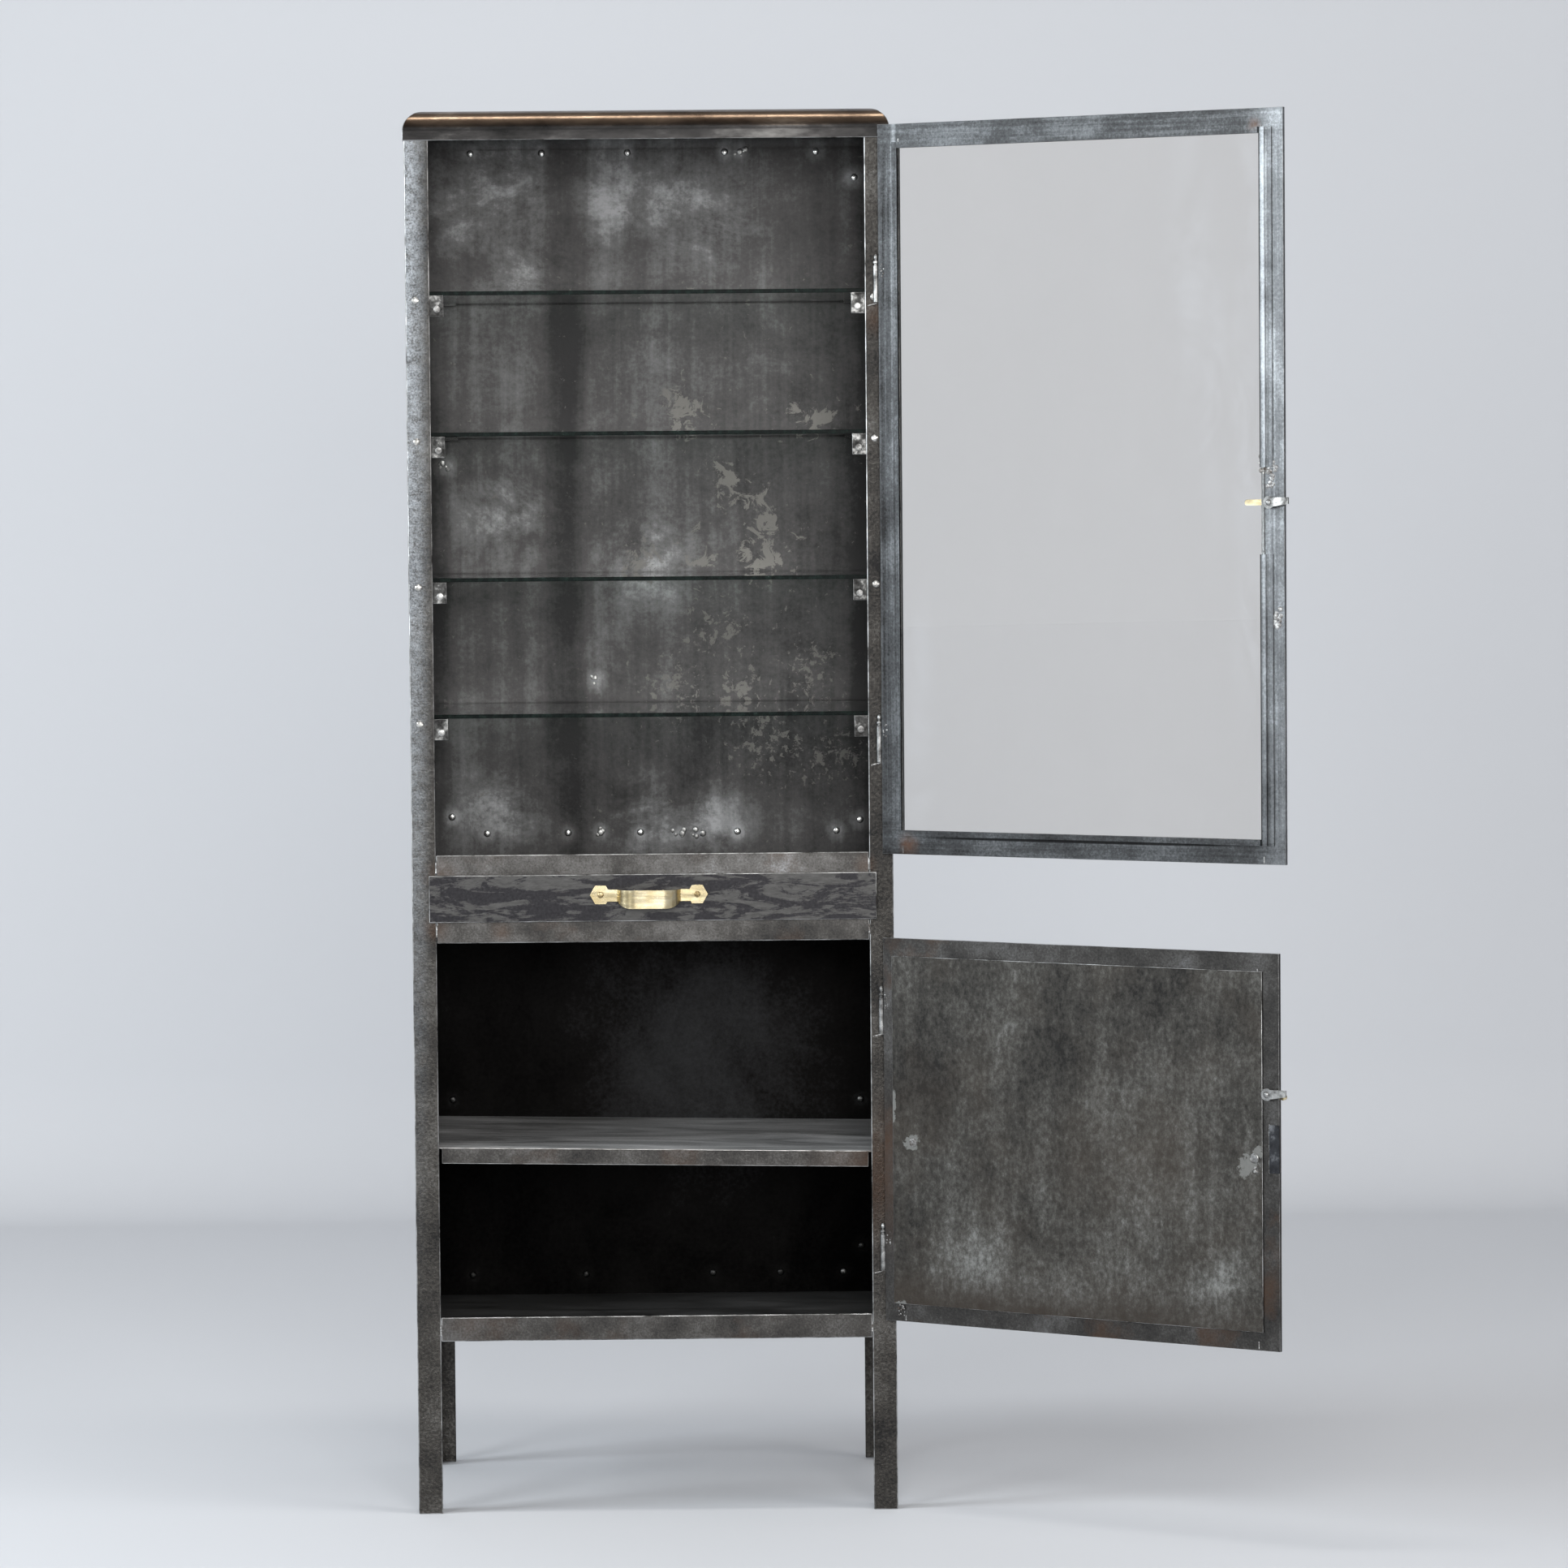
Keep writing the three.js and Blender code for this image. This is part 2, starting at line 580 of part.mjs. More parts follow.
// Pane and the bent glazing bead that holds it: a leg round the pane, a cover over its edge
// and a foot along both stiles, broken off beside the latch
function addGlazing(group, height, latchZ) {
  const paneY = doorInnerY + FIT;
  const paneInset = DOOR_FRAME_WIDTH - PANE_SEAT;
  add(group, 'upper_door_pane', upright(inset(height, paneInset), paneY, paneY + PANE_THICK), glass);
  const legIn = paneInset - FIT;
  const legOut = legIn - BEAD_LEG;
  const coverY = paneY + PANE_THICK + FIT;
  const leg = upright(ring(height, legOut, legIn), paneY, coverY + BEAD_COVER);
  const cover = upright(ring(height, legOut, DOOR_FRAME_WIDTH), coverY, coverY + BEAD_COVER);
  const footStarts = [doorFreeX + legOut - BEAD_FOOT, doorHingeX - legIn];
  const feet = footStarts.map((x) => {
    const strip = rectangle(x, legOut, x + BEAD_FOOT + BEAD_LEG, height - legOut);
    return solid(upright(strip, paneY, paneY + BEAD_COVER));
  });
  const gap = plate(
    doorFreeX, doorInnerY, latchZ - BEAD_GAP_BELOW_LATCH,
    doorFreeX + 2 * DOOR_FRAME_WIDTH, coverY + 2 * BEAD_COVER, latchZ + BEAD_GAP_ABOVE_LATCH,
  );
  const bead = solid(leg).add(solid(cover)).add(feet[0]).add(feet[1]).subtract(solid(gap));
  add(group, 'upper_door_bead', shaped(bead), gunSteel);
}

// One barrel hinge: the pin half stands on the post, the sleeve half drops over the pin
function addHinge(doorName, place, z, group, bottomZ) {
  const finial = HINGE_FINIAL_PROFILE.map(([radiusShare, heightShare]) => [
    HINGE_RADIUS * radiusShare, HINGE_SLEEVE_HALF - HINGE_FINIAL_HEIGHT * heightShare,
  ]);
  const pinHalf = turned([
    [0, -HINGE_PIN_HALF], [HINGE_RADIUS, -HINGE_PIN_HALF], [HINGE_RADIUS, 0],
    [HINGE_PIN_RADIUS, 0], [HINGE_PIN_RADIUS, HINGE_PIN_LENGTH], [0, HINGE_PIN_LENGTH],
  ]);
  const boreTop = HINGE_PIN_LENGTH + FIT;
  const sleeveHalf = turned([
    [0, boreTop], [HINGE_BORE_RADIUS, boreTop], [HINGE_BORE_RADIUS, FIT], [HINGE_RADIUS, FIT],
    ...finial, [0, HINGE_SLEEVE_HALF + FIT],
  ]);
  add(cabinet, `${doorName}_hinge_pin_${place}`, pinHalf, brightSteel, hingeX, hingeY, z);
  add(group, `${doorName}_hinge_sleeve_${place}`, sleeveHalf, brightSteel, 0, 0, z - bottomZ);
}

// Strip with one round end and one square end, starting at the spindle
function roundEnded(length, width) {
  const half = width / 2;
  const shape = new THREE.Shape();
  shape.moveTo(0, -half);
  shape.lineTo(length - half, -half);
  shape.absarc(length - half, 0, half, -Math.PI / 2, Math.PI / 2);
  shape.lineTo(0, half);
  shape.closePath();
  return shape;
}

// Tail of a latch tongue: it tapers to its tip in width, and steps up behind the eye to a wedge
// that slopes back to the strip's thickness
function wedgeTail(y) {
  const halfRoot = TONGUE_ROOT_WIDTH / 2;
  const outline = new THREE.Shape();
  outline.moveTo(0, -halfRoot);
  outline.lineTo(0, halfRoot);
  outline.lineTo(-TONGUE_LENGTH, halfRoot);
  outline.lineTo(-TONGUE_LENGTH, halfRoot - TONGUE_TIP_WIDTH);
  outline.closePath();
  const side = new THREE.Shape();
  side.moveTo(0, y);
  side.lineTo(0, y + TONGUE_THICK);
  side.lineTo(-TONGUE_EYE_RADIUS, y + TONGUE_THICK);
  side.lineTo(-TONGUE_EYE_RADIUS, y + TONGUE_WEDGE_THICK);
  side.lineTo(-TONGUE_LENGTH, y + TONGUE_THICK);
  side.lineTo(-TONGUE_LENGTH, y);
  side.closePath();
  const plan = upright(outline, y, y + TONGUE_WEDGE_THICK);
  const profile = bar(side, TONGUE_ROOT_WIDTH, X, Y).translate(0, 0, -halfRoot);
  return solid(plan).intersect(solid(profile));
}

// Turn latch: lever and spindle are one brass piece, the steel tongue is riveted on inside
function addLatch(group, doorName, x, z, leverLength, leverTurn) {
  const leverFace = doorOuterY - FIT;
  const tongueY = -HALF_D + ANGLE_THICK + TONGUE_BEHIND_FLANGE - hingeY;
  const tongueEnd = tongueY + TONGUE_THICK;
  const strip = upright(roundEnded(leverLength, LEVER_WIDTH), leverFace - LEVER_THICK, leverFace);
  strip.rotateY(THREE.MathUtils.degToRad(leverTurn));
  const lever = solid(strip)
    .add(solid(rod(LEVER_BOSS_RADIUS, leverFace - LEVER_THICK - LEVER_BOSS_RISE, leverFace)))
    .add(solid(rod(SPINDLE_RADIUS, leverFace - LEVER_THICK, tongueEnd + SPINDLE_TIP)));
  add(group, `${doorName}_latch_lever`, shaped(lever), brass, x, 0, z);

  const eye = solid(rod(TONGUE_EYE_RADIUS, tongueY, tongueEnd));
  const tongue = eye.add(wedgeTail(tongueY)).subtract(solid(spindleBore(tongueY, tongueEnd)));
  add(group, `${doorName}_latch_tongue`, shaped(tongue), brightSteel, x, 0, z);
}

// Glazed upper door
function addUpperDoor() {
  const bottomZ = upperOpenZ - UPPER_DOOR_OVERLAP_BOTTOM;
  const topZ = capZ + UPPER_DOOR_OVERLAP_TOP;
  const height = topZ - bottomZ;
  const latchX = doorFreeX + UPPER_LATCH_INSET;
  const group = doorGroup(bottomZ, UPPER_DOOR_OPEN_ANGLE);
  addDoorFrame(group, 'upper_door_frame', height, latchX, UPPER_LATCH_RISE);
  addGlazing(group, height, UPPER_LATCH_RISE);
  addHinge('upper_door', 'bottom', bottomZ + UPPER_HINGE_FROM_BOTTOM, group, bottomZ);
  addHinge('upper_door', 'top', topZ - UPPER_HINGE_FROM_TOP, group, bottomZ);
  addLatch(group, 'upper_door', latchX, UPPER_LATCH_RISE, UPPER_LEVER_LENGTH, 0);
}

// Sheet-steel lower door
function addLowerDoor() {
  const bottomZ = lowerOpenZ - LOWER_DOOR_OVERLAP_BOTTOM;
  const topZ = drawerRailZ + LOWER_DOOR_OVERLAP_TOP;
  const height = topZ - bottomZ;
  const latchX = doorFreeX + LOWER_LATCH_INSET;
  const group = doorGroup(bottomZ, LOWER_DOOR_OPEN_ANGLE);
  addDoorFrame(group, 'lower_door_frame', height, latchX, LOWER_LATCH_RISE);
  const panelY = doorInnerY + FIT;
  const panelInset = DOOR_FRAME_WIDTH - DOOR_PANEL_SEAT;
  const panelHingeX = doorHingeX - DOOR_FRAME_WIDTH + DOOR_PANEL_HINGE_SEAT;
  const panelShape = rectangle(doorFreeX + panelInset, panelInset, panelHingeX, height - panelInset);
  add(group, 'lower_door_panel', upright(panelShape, panelY, panelY + SHEET), darkSheet);
  addHinge('lower_door', 'bottom', bottomZ + LOWER_HINGE_FROM_BOTTOM, group, bottomZ);
  addHinge('lower_door', 'top', topZ - LOWER_HINGE_FROM_TOP, group, bottomZ);
  addLatch(group, 'lower_door', latchX, LOWER_LATCH_RISE, LOWER_LEVER_LENGTH, 180 - LOWER_LEVER_DROOP);
}

addPosts();
addRails();
addPanels();
addCap();
addGlassShelves();
addSteelShelf();
addRunners();
addDrawer();
addUpperDoor();
addLowerDoor();

export default cabinet;
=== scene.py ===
# Looks of a glass door medical cabinet: worn dark steel, clear glass and pale brass.
import json
import math
import random

import bmesh
import bpy
from mathutils import Matrix, Vector


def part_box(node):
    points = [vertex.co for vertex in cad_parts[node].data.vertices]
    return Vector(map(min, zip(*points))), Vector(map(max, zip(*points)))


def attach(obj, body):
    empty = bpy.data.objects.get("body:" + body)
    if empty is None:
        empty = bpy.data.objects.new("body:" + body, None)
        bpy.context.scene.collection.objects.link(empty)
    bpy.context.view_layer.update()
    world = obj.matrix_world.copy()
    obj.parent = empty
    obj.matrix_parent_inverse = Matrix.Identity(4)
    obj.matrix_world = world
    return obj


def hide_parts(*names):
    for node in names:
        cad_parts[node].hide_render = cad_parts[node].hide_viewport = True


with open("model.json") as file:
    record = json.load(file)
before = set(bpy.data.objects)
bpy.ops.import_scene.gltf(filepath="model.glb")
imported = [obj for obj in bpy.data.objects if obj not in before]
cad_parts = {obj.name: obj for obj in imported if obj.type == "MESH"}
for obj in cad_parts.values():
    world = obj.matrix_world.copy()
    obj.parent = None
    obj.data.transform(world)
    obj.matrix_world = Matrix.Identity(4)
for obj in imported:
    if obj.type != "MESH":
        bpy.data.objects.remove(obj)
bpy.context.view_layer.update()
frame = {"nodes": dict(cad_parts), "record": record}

chance = random.Random(11)

# Camera, in metres and degrees, and the image that it fills
IMAGE_PIXELS = 1932
FOCAL_PIXELS = 7363
SENSOR_WIDTH = 36
CAMERA_PLACE = (0.068, -7.634, 1.2864)
CAMERA_YAW = 0.744
CAMERA_PITCH = 2.887
CAMERA_ROLL = -0.481

# Stage, in metres, with the colour of its paint and of the light all round
WALL_Y = 3.0
FLOOR_REACH = 40.0
WALL_HEIGHT = 9.0
SWEEP_RADIUS = 0.25
SWEEP_STEPS = 8
PAINT_COLOUR = (0.62, 0.63, 0.655, 1)
PAINT_ROUGHNESS = 0.85
AIR_COLOUR = (0.87, 0.885, 0.91, 1)
AIR_STRENGTH = 0.42

# Small pieces, in metres
MM = 0.001
EDGE_WEAR = 1.1 * MM
FINE_EDGE = 0.4 * MM
SCREW_RADIUS = 4.4 * MM
SCREW_HEIGHT = 2.0 * MM
RIVET_RADIUS = 4.8 * MM
RIVET_HEIGHT = 2.2 * MM
DENT_RADIUS = 8 * MM
CLIP_RIVET_RADIUS = 4.2 * MM
CLIP_RIVET_HEIGHT = 0.35 * MM
CLIP_RIVET_INSET = 8 * MM
CLIP_RIVET_RISE = 9 * MM
PULL_SCREW_RADIUS = 4.0 * MM
PULL_SCREW_HEIGHT = 2.4 * MM
PULL_PLATE_HALF = 11.5 * MM
PULL_PLATE_THICK = 2.5 * MM
TONGUE_FACE = 9.85 * MM
TONGUE_RIVET_RADIUS = 4.7 * MM
TONGUE_RIVET_COLLAR = 0.5 * MM
TONGUE_DOME_RADIUS = TONGUE_RIVET_RADIUS * 0.82
TONGUE_DOME_HEIGHT = 2.2 * MM
WELD_RADIUS = 1.6 * MM
PLATE_EASE = 0.3 * MM

# Angles above which a skin is creased and its edges are eased, and below which its faces are joined
CREASE_ANGLE = math.radians(38)
EASED_ANGLE = math.radians(40)
FLAT_ANGLE = math.radians(0.5)

# Places of rivets on the back panels, across and up, in millimetres
UPPER_RIVETS = [(x, 1718) for x in (-233, -140, -28, 99, 218)]
UPPER_RIVETS += [(x, 830) for x in (-220, -114, -19, 108, 238)]
UPPER_RIVETS += [(-266, 852), (269, 844), (268, 1684)]
UPPER_DENTS = [(119, 1717), (-71, 832), (30, 829), (56, 828), (-270, 1311), (-75, 1030)]
LOWER_RIVETS = [(x, 248) for x in (-245, -96, 71, 160, 243)] + [(-269, 480), (267, 476), (267, 282)]

# Places of the post screws: how far from the post's middle, and above the foot of the clip behind them
LEFT_SCREW_SHIFT = -3 * MM
RIGHT_SCREW_SHIFT = -4 * MM
SCREW_ABOVE_CLIP = 20 * MM

X = Vector((1, 0, 0))
Y = Vector((0, 1, 0))
Z = Vector((0, 0, 1))
joints = {joint["name"]: joint for joint in frame["record"]["behaviour"]["joints"]}
bodies = frame["record"]["behaviour"]["bodies"]
body_of = {node: body for body, nodes in bodies.items() for node in nodes}
slots = {part["node"]: part["material_slot"] for part in frame["record"]["subparts"]}


# Directions on an open door: from the hinge to the free edge, and out of its inner face
def door_axes(door):
    swing = joints[door + "_swing"]
    opened = math.radians(-swing["range_deg"][0])
    hinge = Vector((*swing["pos_m"][:2], 0))
    along = Vector((-math.cos(opened), -math.sin(opened), 0))
    inward = Vector((-math.sin(opened), math.cos(opened), 0))
    return hinge, along, inward


# Point on a door: millimetres from the hinge, above the floor, and out from the hinge's plane
def on_door(door, reach, height, lift):
    hinge, along, inward = door_axes(door)
    return hinge + along * (reach * MM) + inward * (lift * MM) + Z * (height * MM)


# Marks on a door, each by its millimetres from the hinge, above the floor, and in reach
def door_marks(door, lift, *marks):
    return [(on_door(door, reach, height, lift), spread * MM) for reach, height, spread in marks]


# Shader nodes

def shader_node(tree, kind, inputs=None, **settings):
    made = tree.nodes.new("ShaderNode" + kind)
    for key, value in settings.items():
        setattr(made, key, value)
    for key, value in (inputs or {}).items():
        if isinstance(value, bpy.types.NodeSocket):
            tree.links.new(value, made.inputs[key])
        else:
            made.inputs[key].default_value = value
    return made


def new_material(name, metallic=None):
    material = bpy.data.materials.new(name)
    material.use_nodes = True
    tree = material.node_tree
    shader = tree.nodes["Principled BSDF"]
    if metallic is not None:
        shader.inputs["Metallic"].default_value = metallic
    place = shader_node(tree, "TexCoord").outputs["Object"]
    return material, tree, shader, place


def noise(tree, place, scale, detail=5.0, rough=0.6, distort=0.0):
    inputs = {"Vector": place, "Scale": scale, "Detail": detail, "Roughness": rough, "Distortion": distort}
    return shader_node(tree, "TexNoise", inputs).outputs["Fac"]


def stretched(tree, place, scale, shift=(0, 0, 0), turn=(0, 0, 0)):
    inputs = {"Vector": place, "Scale": scale, "Location": shift, "Rotation": turn}
    return shader_node(tree, "Mapping", inputs).outputs["Vector"]


def ramp(tree, factor, *stops):
    made = shader_node(tree, "ValToRGB", {"Fac": factor})
    elements = made.color_ramp.elements
    for index, (position, value) in enumerate(stops):
        element = elements[index] if index < 2 else elements.new(position)
        element.position = position
        colour = value if isinstance(value, tuple) else (value, value, value)
        element.color = (*colour, 1)
    return made.outputs["Color"]


def mixed(tree, factor, first, second):
    made = shader_node(tree, "Mix", data_type="RGBA")
    for index, value in ((0, factor), (6, first), (7, second)):
        if isinstance(value, bpy.types.NodeSocket):
            tree.links.new(value, made.inputs[index])
        else:
            made.inputs[index].default_value = (*value, 1)
    return made.outputs[2]


def maths(tree, operation, first, second):
    made = shader_node(tree, "Math", operation=operation)
    for index, value in enumerate((first, second)):
        if isinstance(value, bpy.types.NodeSocket):
            tree.links.new(value, made.inputs[index])
        else:
            made.inputs[index].default_value = value
    return made.outputs["Value"]


def weighted(tree, *terms):
    total = None
    for value, weight in terms:
        share = maths(tree, "MULTIPLY", value, weight)
        total = share if total is None else maths(tree, "ADD", total, share)
    return total


# Ways to measure how far a mark reaches: an axis of 0 is not measured
ALL_ROUND = (1, 1, 1)
ACROSS_AND_UP = (1, 0, 1)
BY_HEIGHT = (0, 0, 1)
ON_PLAN = (1, 1, 0)


# Soft spots: 1 in the middle of each mark and 0 at its reach
def spots(tree, place, marks, axes):
    total = None
    for centre, reach in marks:
        shift = [-along * share for along, share in zip(centre, axes)]
        offset = stretched(tree, place, axes, shift)
        length = shader_node(tree, "VectorMath", {0: offset}, operation="LENGTH").outputs["Value"]
        inputs = {"Value": length, "From Min": 0.0, "From Max": reach, "To Min": 1.0, "To Max": 0.0}
        one = shader_node(tree, "MapRange", inputs, interpolation_type="SMOOTHSTEP").outputs["Result"]
        total = one if total is None else maths(tree, "MAXIMUM", total, one)
    return total


# Spots in the plane of the back panels, written in millimetres across and up
def back_spots(tree, place, marks, axes=ACROSS_AND_UP):
    return spots(tree, place, [((x * MM, 0, z * MM), reach * MM) for x, z, reach in marks], axes)


# Rust that breaks up towards the rim of its marks
def rust_spots(tree, place, marks):
    return maths(tree, "MULTIPLY", spots(tree, place, marks, ALL_ROUND), noise(tree, place, 90, 5, 0.7))


def raise_surface(tree, shader, height, strength, distance):
    bump = shader_node(tree, "Bump", {"Height": height, "Strength": strength, "Distance": distance})
    tree.links.new(bump.outputs["Normal"], shader.inputs["Normal"])


def wire(tree, shader, colour, roughness):
    tree.links.new(colour, shader.inputs["Base Color"])
    tree.links.new(roughness, shader.inputs["Roughness"])


# Materials

# Shades of steel from dark to bright, and of rust
BLACK = (0.008, 0.008, 0.008)
DARK = (0.016, 0.0155, 0.0155)
STEEL = (0.044, 0.0415, 0.039)
MIDDLE = (0.088, 0.085, 0.082)
PALE = (0.17, 0.174, 0.18)
BRIGHT = (0.50, 0.50, 0.50)
RUST = (0.060, 0.034, 0.021)
FRESH_RUST = (0.12, 0.055, 0.028)


def frame_steel(name, light, rusted=0.6):
    material, tree, shader, place = new_material(name, 0.8)
    clouds = noise(tree, place, 16, 8, 0.66)
    grain = noise(tree, place, 380, 4, 0.7)
    # Painted highlight: a band at the height of the middle rail is painted lighter.
    painted_light = maths(tree, "MULTIPLY", spots(tree, place, RAIL_LIGHT, BY_HEIGHT), 0.08)
    tone = maths(tree, "ADD", weighted(tree, (clouds, 0.7), (grain, 0.4)), painted_light)
    shades = [tuple(part * light for part in shade) for shade in (DARK, STEEL, MIDDLE, PALE)]
    colour = ramp(tree, tone, *zip((0.40, 0.55, 0.67, 0.80), shades))
    stain = noise(tree, stretched(tree, place, (1, 1, 1), (3, 5, 7)), 9, 6, 0.6)
    colour = mixed(tree, ramp(tree, stain, (0.55, 0.0), (0.72, rusted)), colour, RUST)
    colour = mixed(tree, rust_spots(tree, place, FRAME_RUST), colour, RUST)
    wire(tree, shader, colour, ramp(tree, clouds, (0.3, 0.50), (0.7, 0.32)))
    raise_surface(tree, shader, weighted(tree, (grain, 1.0), (clouds, 0.6)), 0.35, 0.0006)
    return material


def hammered_steel():
    material, tree, shader, place = new_material("hammered_steel", 0.85)
    clouds = noise(tree, place, 12, 8, 0.65)
    grain = noise(tree, place, 260, 4, 0.65)
    tone = weighted(tree, (clouds, 0.6), (grain, 0.45))
    colour = ramp(tree, tone, (0.40, DARK), (0.54, (0.047, 0.0435, 0.0395)), (0.66, (0.096, 0.092, 0.086)),
                  (0.78, (0.24, 0.25, 0.265)))
    colour = mixed(tree, rust_spots(tree, place, FRAME_RUST), colour, RUST)
    flecks = weighted(tree, (noise(tree, place, 420, 3, 0.7), 0.5), (noise(tree, place, 85, 5, 0.7), 0.5))
    glitter = ramp(tree, flecks, (0.41, 0.15), (0.58, 0.85))
    # Painted shade: the upper part of the right post is darkened.
    shade = maths(tree, "MULTIPLY", spots(tree, place, POST_DARK, (1, 0, 0.03)), 0.12)
    colour = mixed(tree, shade, colour, DARK)
    # Painted highlight: the upper part of the left post gets pale bluish specks where its hammered face
    # would catch the light.
    lit = maths(tree, "MULTIPLY", spots(tree, place, POST_LIGHT, (1, 0, 0.02)), glitter)
    colour = mixed(tree, lit, colour, (0.37, 0.397, 0.425))
    wire(tree, shader, colour, ramp(tree, grain, (0.3, 0.48), (0.7, 0.30)))
    raise_surface(tree, shader, grain, 0.9, 0.0013)
    return material


def upper_door_steel(name, gleam):
    material, tree, shader, place = new_material(name, 0.9)
    clouds = noise(tree, place, 14, 7, 0.64)
    upright = noise(tree, stretched(tree, place, (240, 240, 3)), 1.0, 5, 0.6)
    level = noise(tree, stretched(tree, place, (5, 5, 150)), 1.0, 6, 0.66)
    rolled = mixed(tree, spots(tree, place, DOOR_RAILS, BY_HEIGHT), upright, level)
    grain = noise(tree, place, 320, 4, 0.7)
    # Painted light and shade: highlights on the free stile, on the hinge stile and, by gleam, along the
    # bead, and painted shade on the hinge stile's outer part.
    painted_light_and_shade = weighted(tree, (spots(tree, place, STILE_LIGHT, ON_PLAN), 0.085),
                        (spots(tree, place, STILE_LIGHT, (1, 1, 0.035)), 0.075),
                        (spots(tree, place, HINGE_LIGHT, (1, 1, 0.012)), 0.20),
                        (spots(tree, place, HINGE_SHADE, ON_PLAN), -0.05),
                        (spots(tree, place, BEAD_LIGHT, (1, 1, 0.008)), gleam))
    tone = maths(tree, "ADD", weighted(tree, (clouds, 0.36), (rolled, 0.36), (grain, 0.28)), painted_light_and_shade)
    colour = ramp(tree, tone, (0.38, DARK), (0.50, (0.060, 0.062, 0.064)), (0.64, (0.17, 0.177, 0.184)),
                  (0.80, (0.46, 0.485, 0.505)))
    colour = mixed(tree, rust_spots(tree, place, DOOR_RUST), colour, FRESH_RUST)
    # Painted shadow: a black line across the door just above its bottom rail, where the glass edge casts
    # shade.
    span = spots(tree, place, DOOR_SPAN, ON_PLAN)
    seam_shade = maths(tree, "MULTIPLY", spots(tree, place, SEAM_SHADE, BY_HEIGHT), span)
    colour = mixed(tree, ramp(tree, seam_shade, (0.0, 0.0), (0.25, 0.9)), colour, BLACK)
    # Painted reflection: a black line along the bead's glass edge on the free stile, where the bead shows
    # dark in the glass.
    rim = ramp(tree, spots(tree, place, BEAD_RIM, ON_PLAN), (0.0, 0.0), (0.4, 0.95))
    colour = mixed(tree, rim, colour, BLACK)
    wire(tree, shader, colour, ramp(tree, rolled, (0.3, 0.42), (0.7, 0.26)))
    raise_surface(tree, shader, weighted(tree, (grain, 1.0), (rolled, 0.5)), 0.3, 0.0005)
    return material


def worn_edge():
    material, tree, shader, place = new_material("worn_edge", 0.9)
    wear = noise(tree, place, 24, 7, 0.72)
    colour = ramp(tree, wear, (0.37, STEEL), (0.50, (0.27, 0.27, 0.265)), (0.62, BRIGHT))
    wire(tree, shader, colour, ramp(tree, wear, (0.3, 0.5), (0.7, 0.28)))
    return material


def back_steel():
    material, tree, shader, place = new_material("back_steel", 0.8)
    streaks = noise(tree, stretched(tree, place, (44, 1, 2.4)), 1.0, 6, 0.62, 0.3)
    broad = noise(tree, stretched(tree, place, (10, 1, 1.3), (2, 0, 1)), 1.0, 4, 0.55)
    smears = noise(tree, stretched(tree, place, (8, 1, 10), (5, 0, 3)), 1.0, 9, 0.72, 0.25)
    fine = noise(tree, place, 170, 6, 0.72)
    tone = weighted(tree, (streaks, 0.28), (broad, 0.20), (smears, 0.45), (fine, 0.21))
    # Painted shade: an upright dark band, the corners by the side walls, the right half and the lowest bay
    # are darkened.
    shade = weighted(tree, (back_spots(tree, place, BACK_SHADE, (1, 0, 0.04)), 0.20),
                     (back_spots(tree, place, [(250, 1150, 260)], (1, 0, 0.25)), 0.09),
                     (back_spots(tree, place, [(40, 940, 130)], (0.4, 0, 1)), 0.07))
    # Painted light: pools of light broken up by the smears, and lighter bands along the top and the foot of
    # the upper panel.
    smeared = ramp(tree, smears, (0.36, 0.0), (0.60, 1.0))
    painted_light = maths(tree, "MULTIPLY", back_spots(tree, place, BACK_GLOW), smeared)
    glow = weighted(tree, (painted_light, 0.19), (back_spots(tree, place, [(0, 842, 45)], BY_HEIGHT), 0.06),
                    (back_spots(tree, place, [(-40, 1690, 130)], (0.35, 0, 1)), 0.10))
    # Painted highlight: a pale glint round each rivet and dent.
    glint_marks = [(x, z, 24) for x, z in UPPER_RIVETS + UPPER_DENTS]
    glint = maths(tree, "MULTIPLY", back_spots(tree, place, glint_marks), 0.22)
    tone = maths(tree, "ADD", maths(tree, "SUBTRACT", tone, shade), maths(tree, "MAXIMUM", glow, glint))
    colour = ramp(tree, tone, (0.40, (0.011, 0.0108, 0.011)), (0.56, (0.042, 0.041, 0.041)),
                  (0.68, (0.100, 0.100, 0.101)), (0.84, (0.28, 0.283, 0.29)))
    flakes = noise(tree, stretched(tree, place, (1, 1, 1), (1, 0, 4)), 42, 11, 0.72, 0.8)
    flaked = weighted(tree, (flakes, 1.0), (back_spots(tree, place, BACK_FLAKES), 0.20))
    crackle = noise(tree, stretched(tree, place, (1, 1, 1), (6, 0, 2)), 95, 8, 0.7, 0.4)
    crackled = weighted(tree, (crackle, 1.0), (back_spots(tree, place, BACK_CRACKLE), 0.13))
    large = ramp(tree, flaked, (0.665, 0.0), (0.69, 0.8))
    small = ramp(tree, crackled, (0.64, 0.0), (0.67, 0.6))
    bare = maths(tree, "MAXIMUM", large, small)
    colour = mixed(tree, bare, colour, (0.098, 0.095, 0.088))
    wire(tree, shader, colour, ramp(tree, tone, (0.4, 0.38), (0.8, 0.5)))
    raise_surface(tree, shader, weighted(tree, (fine, 0.5), (smears, 1.0)), 0.3, 0.0013)
    return material


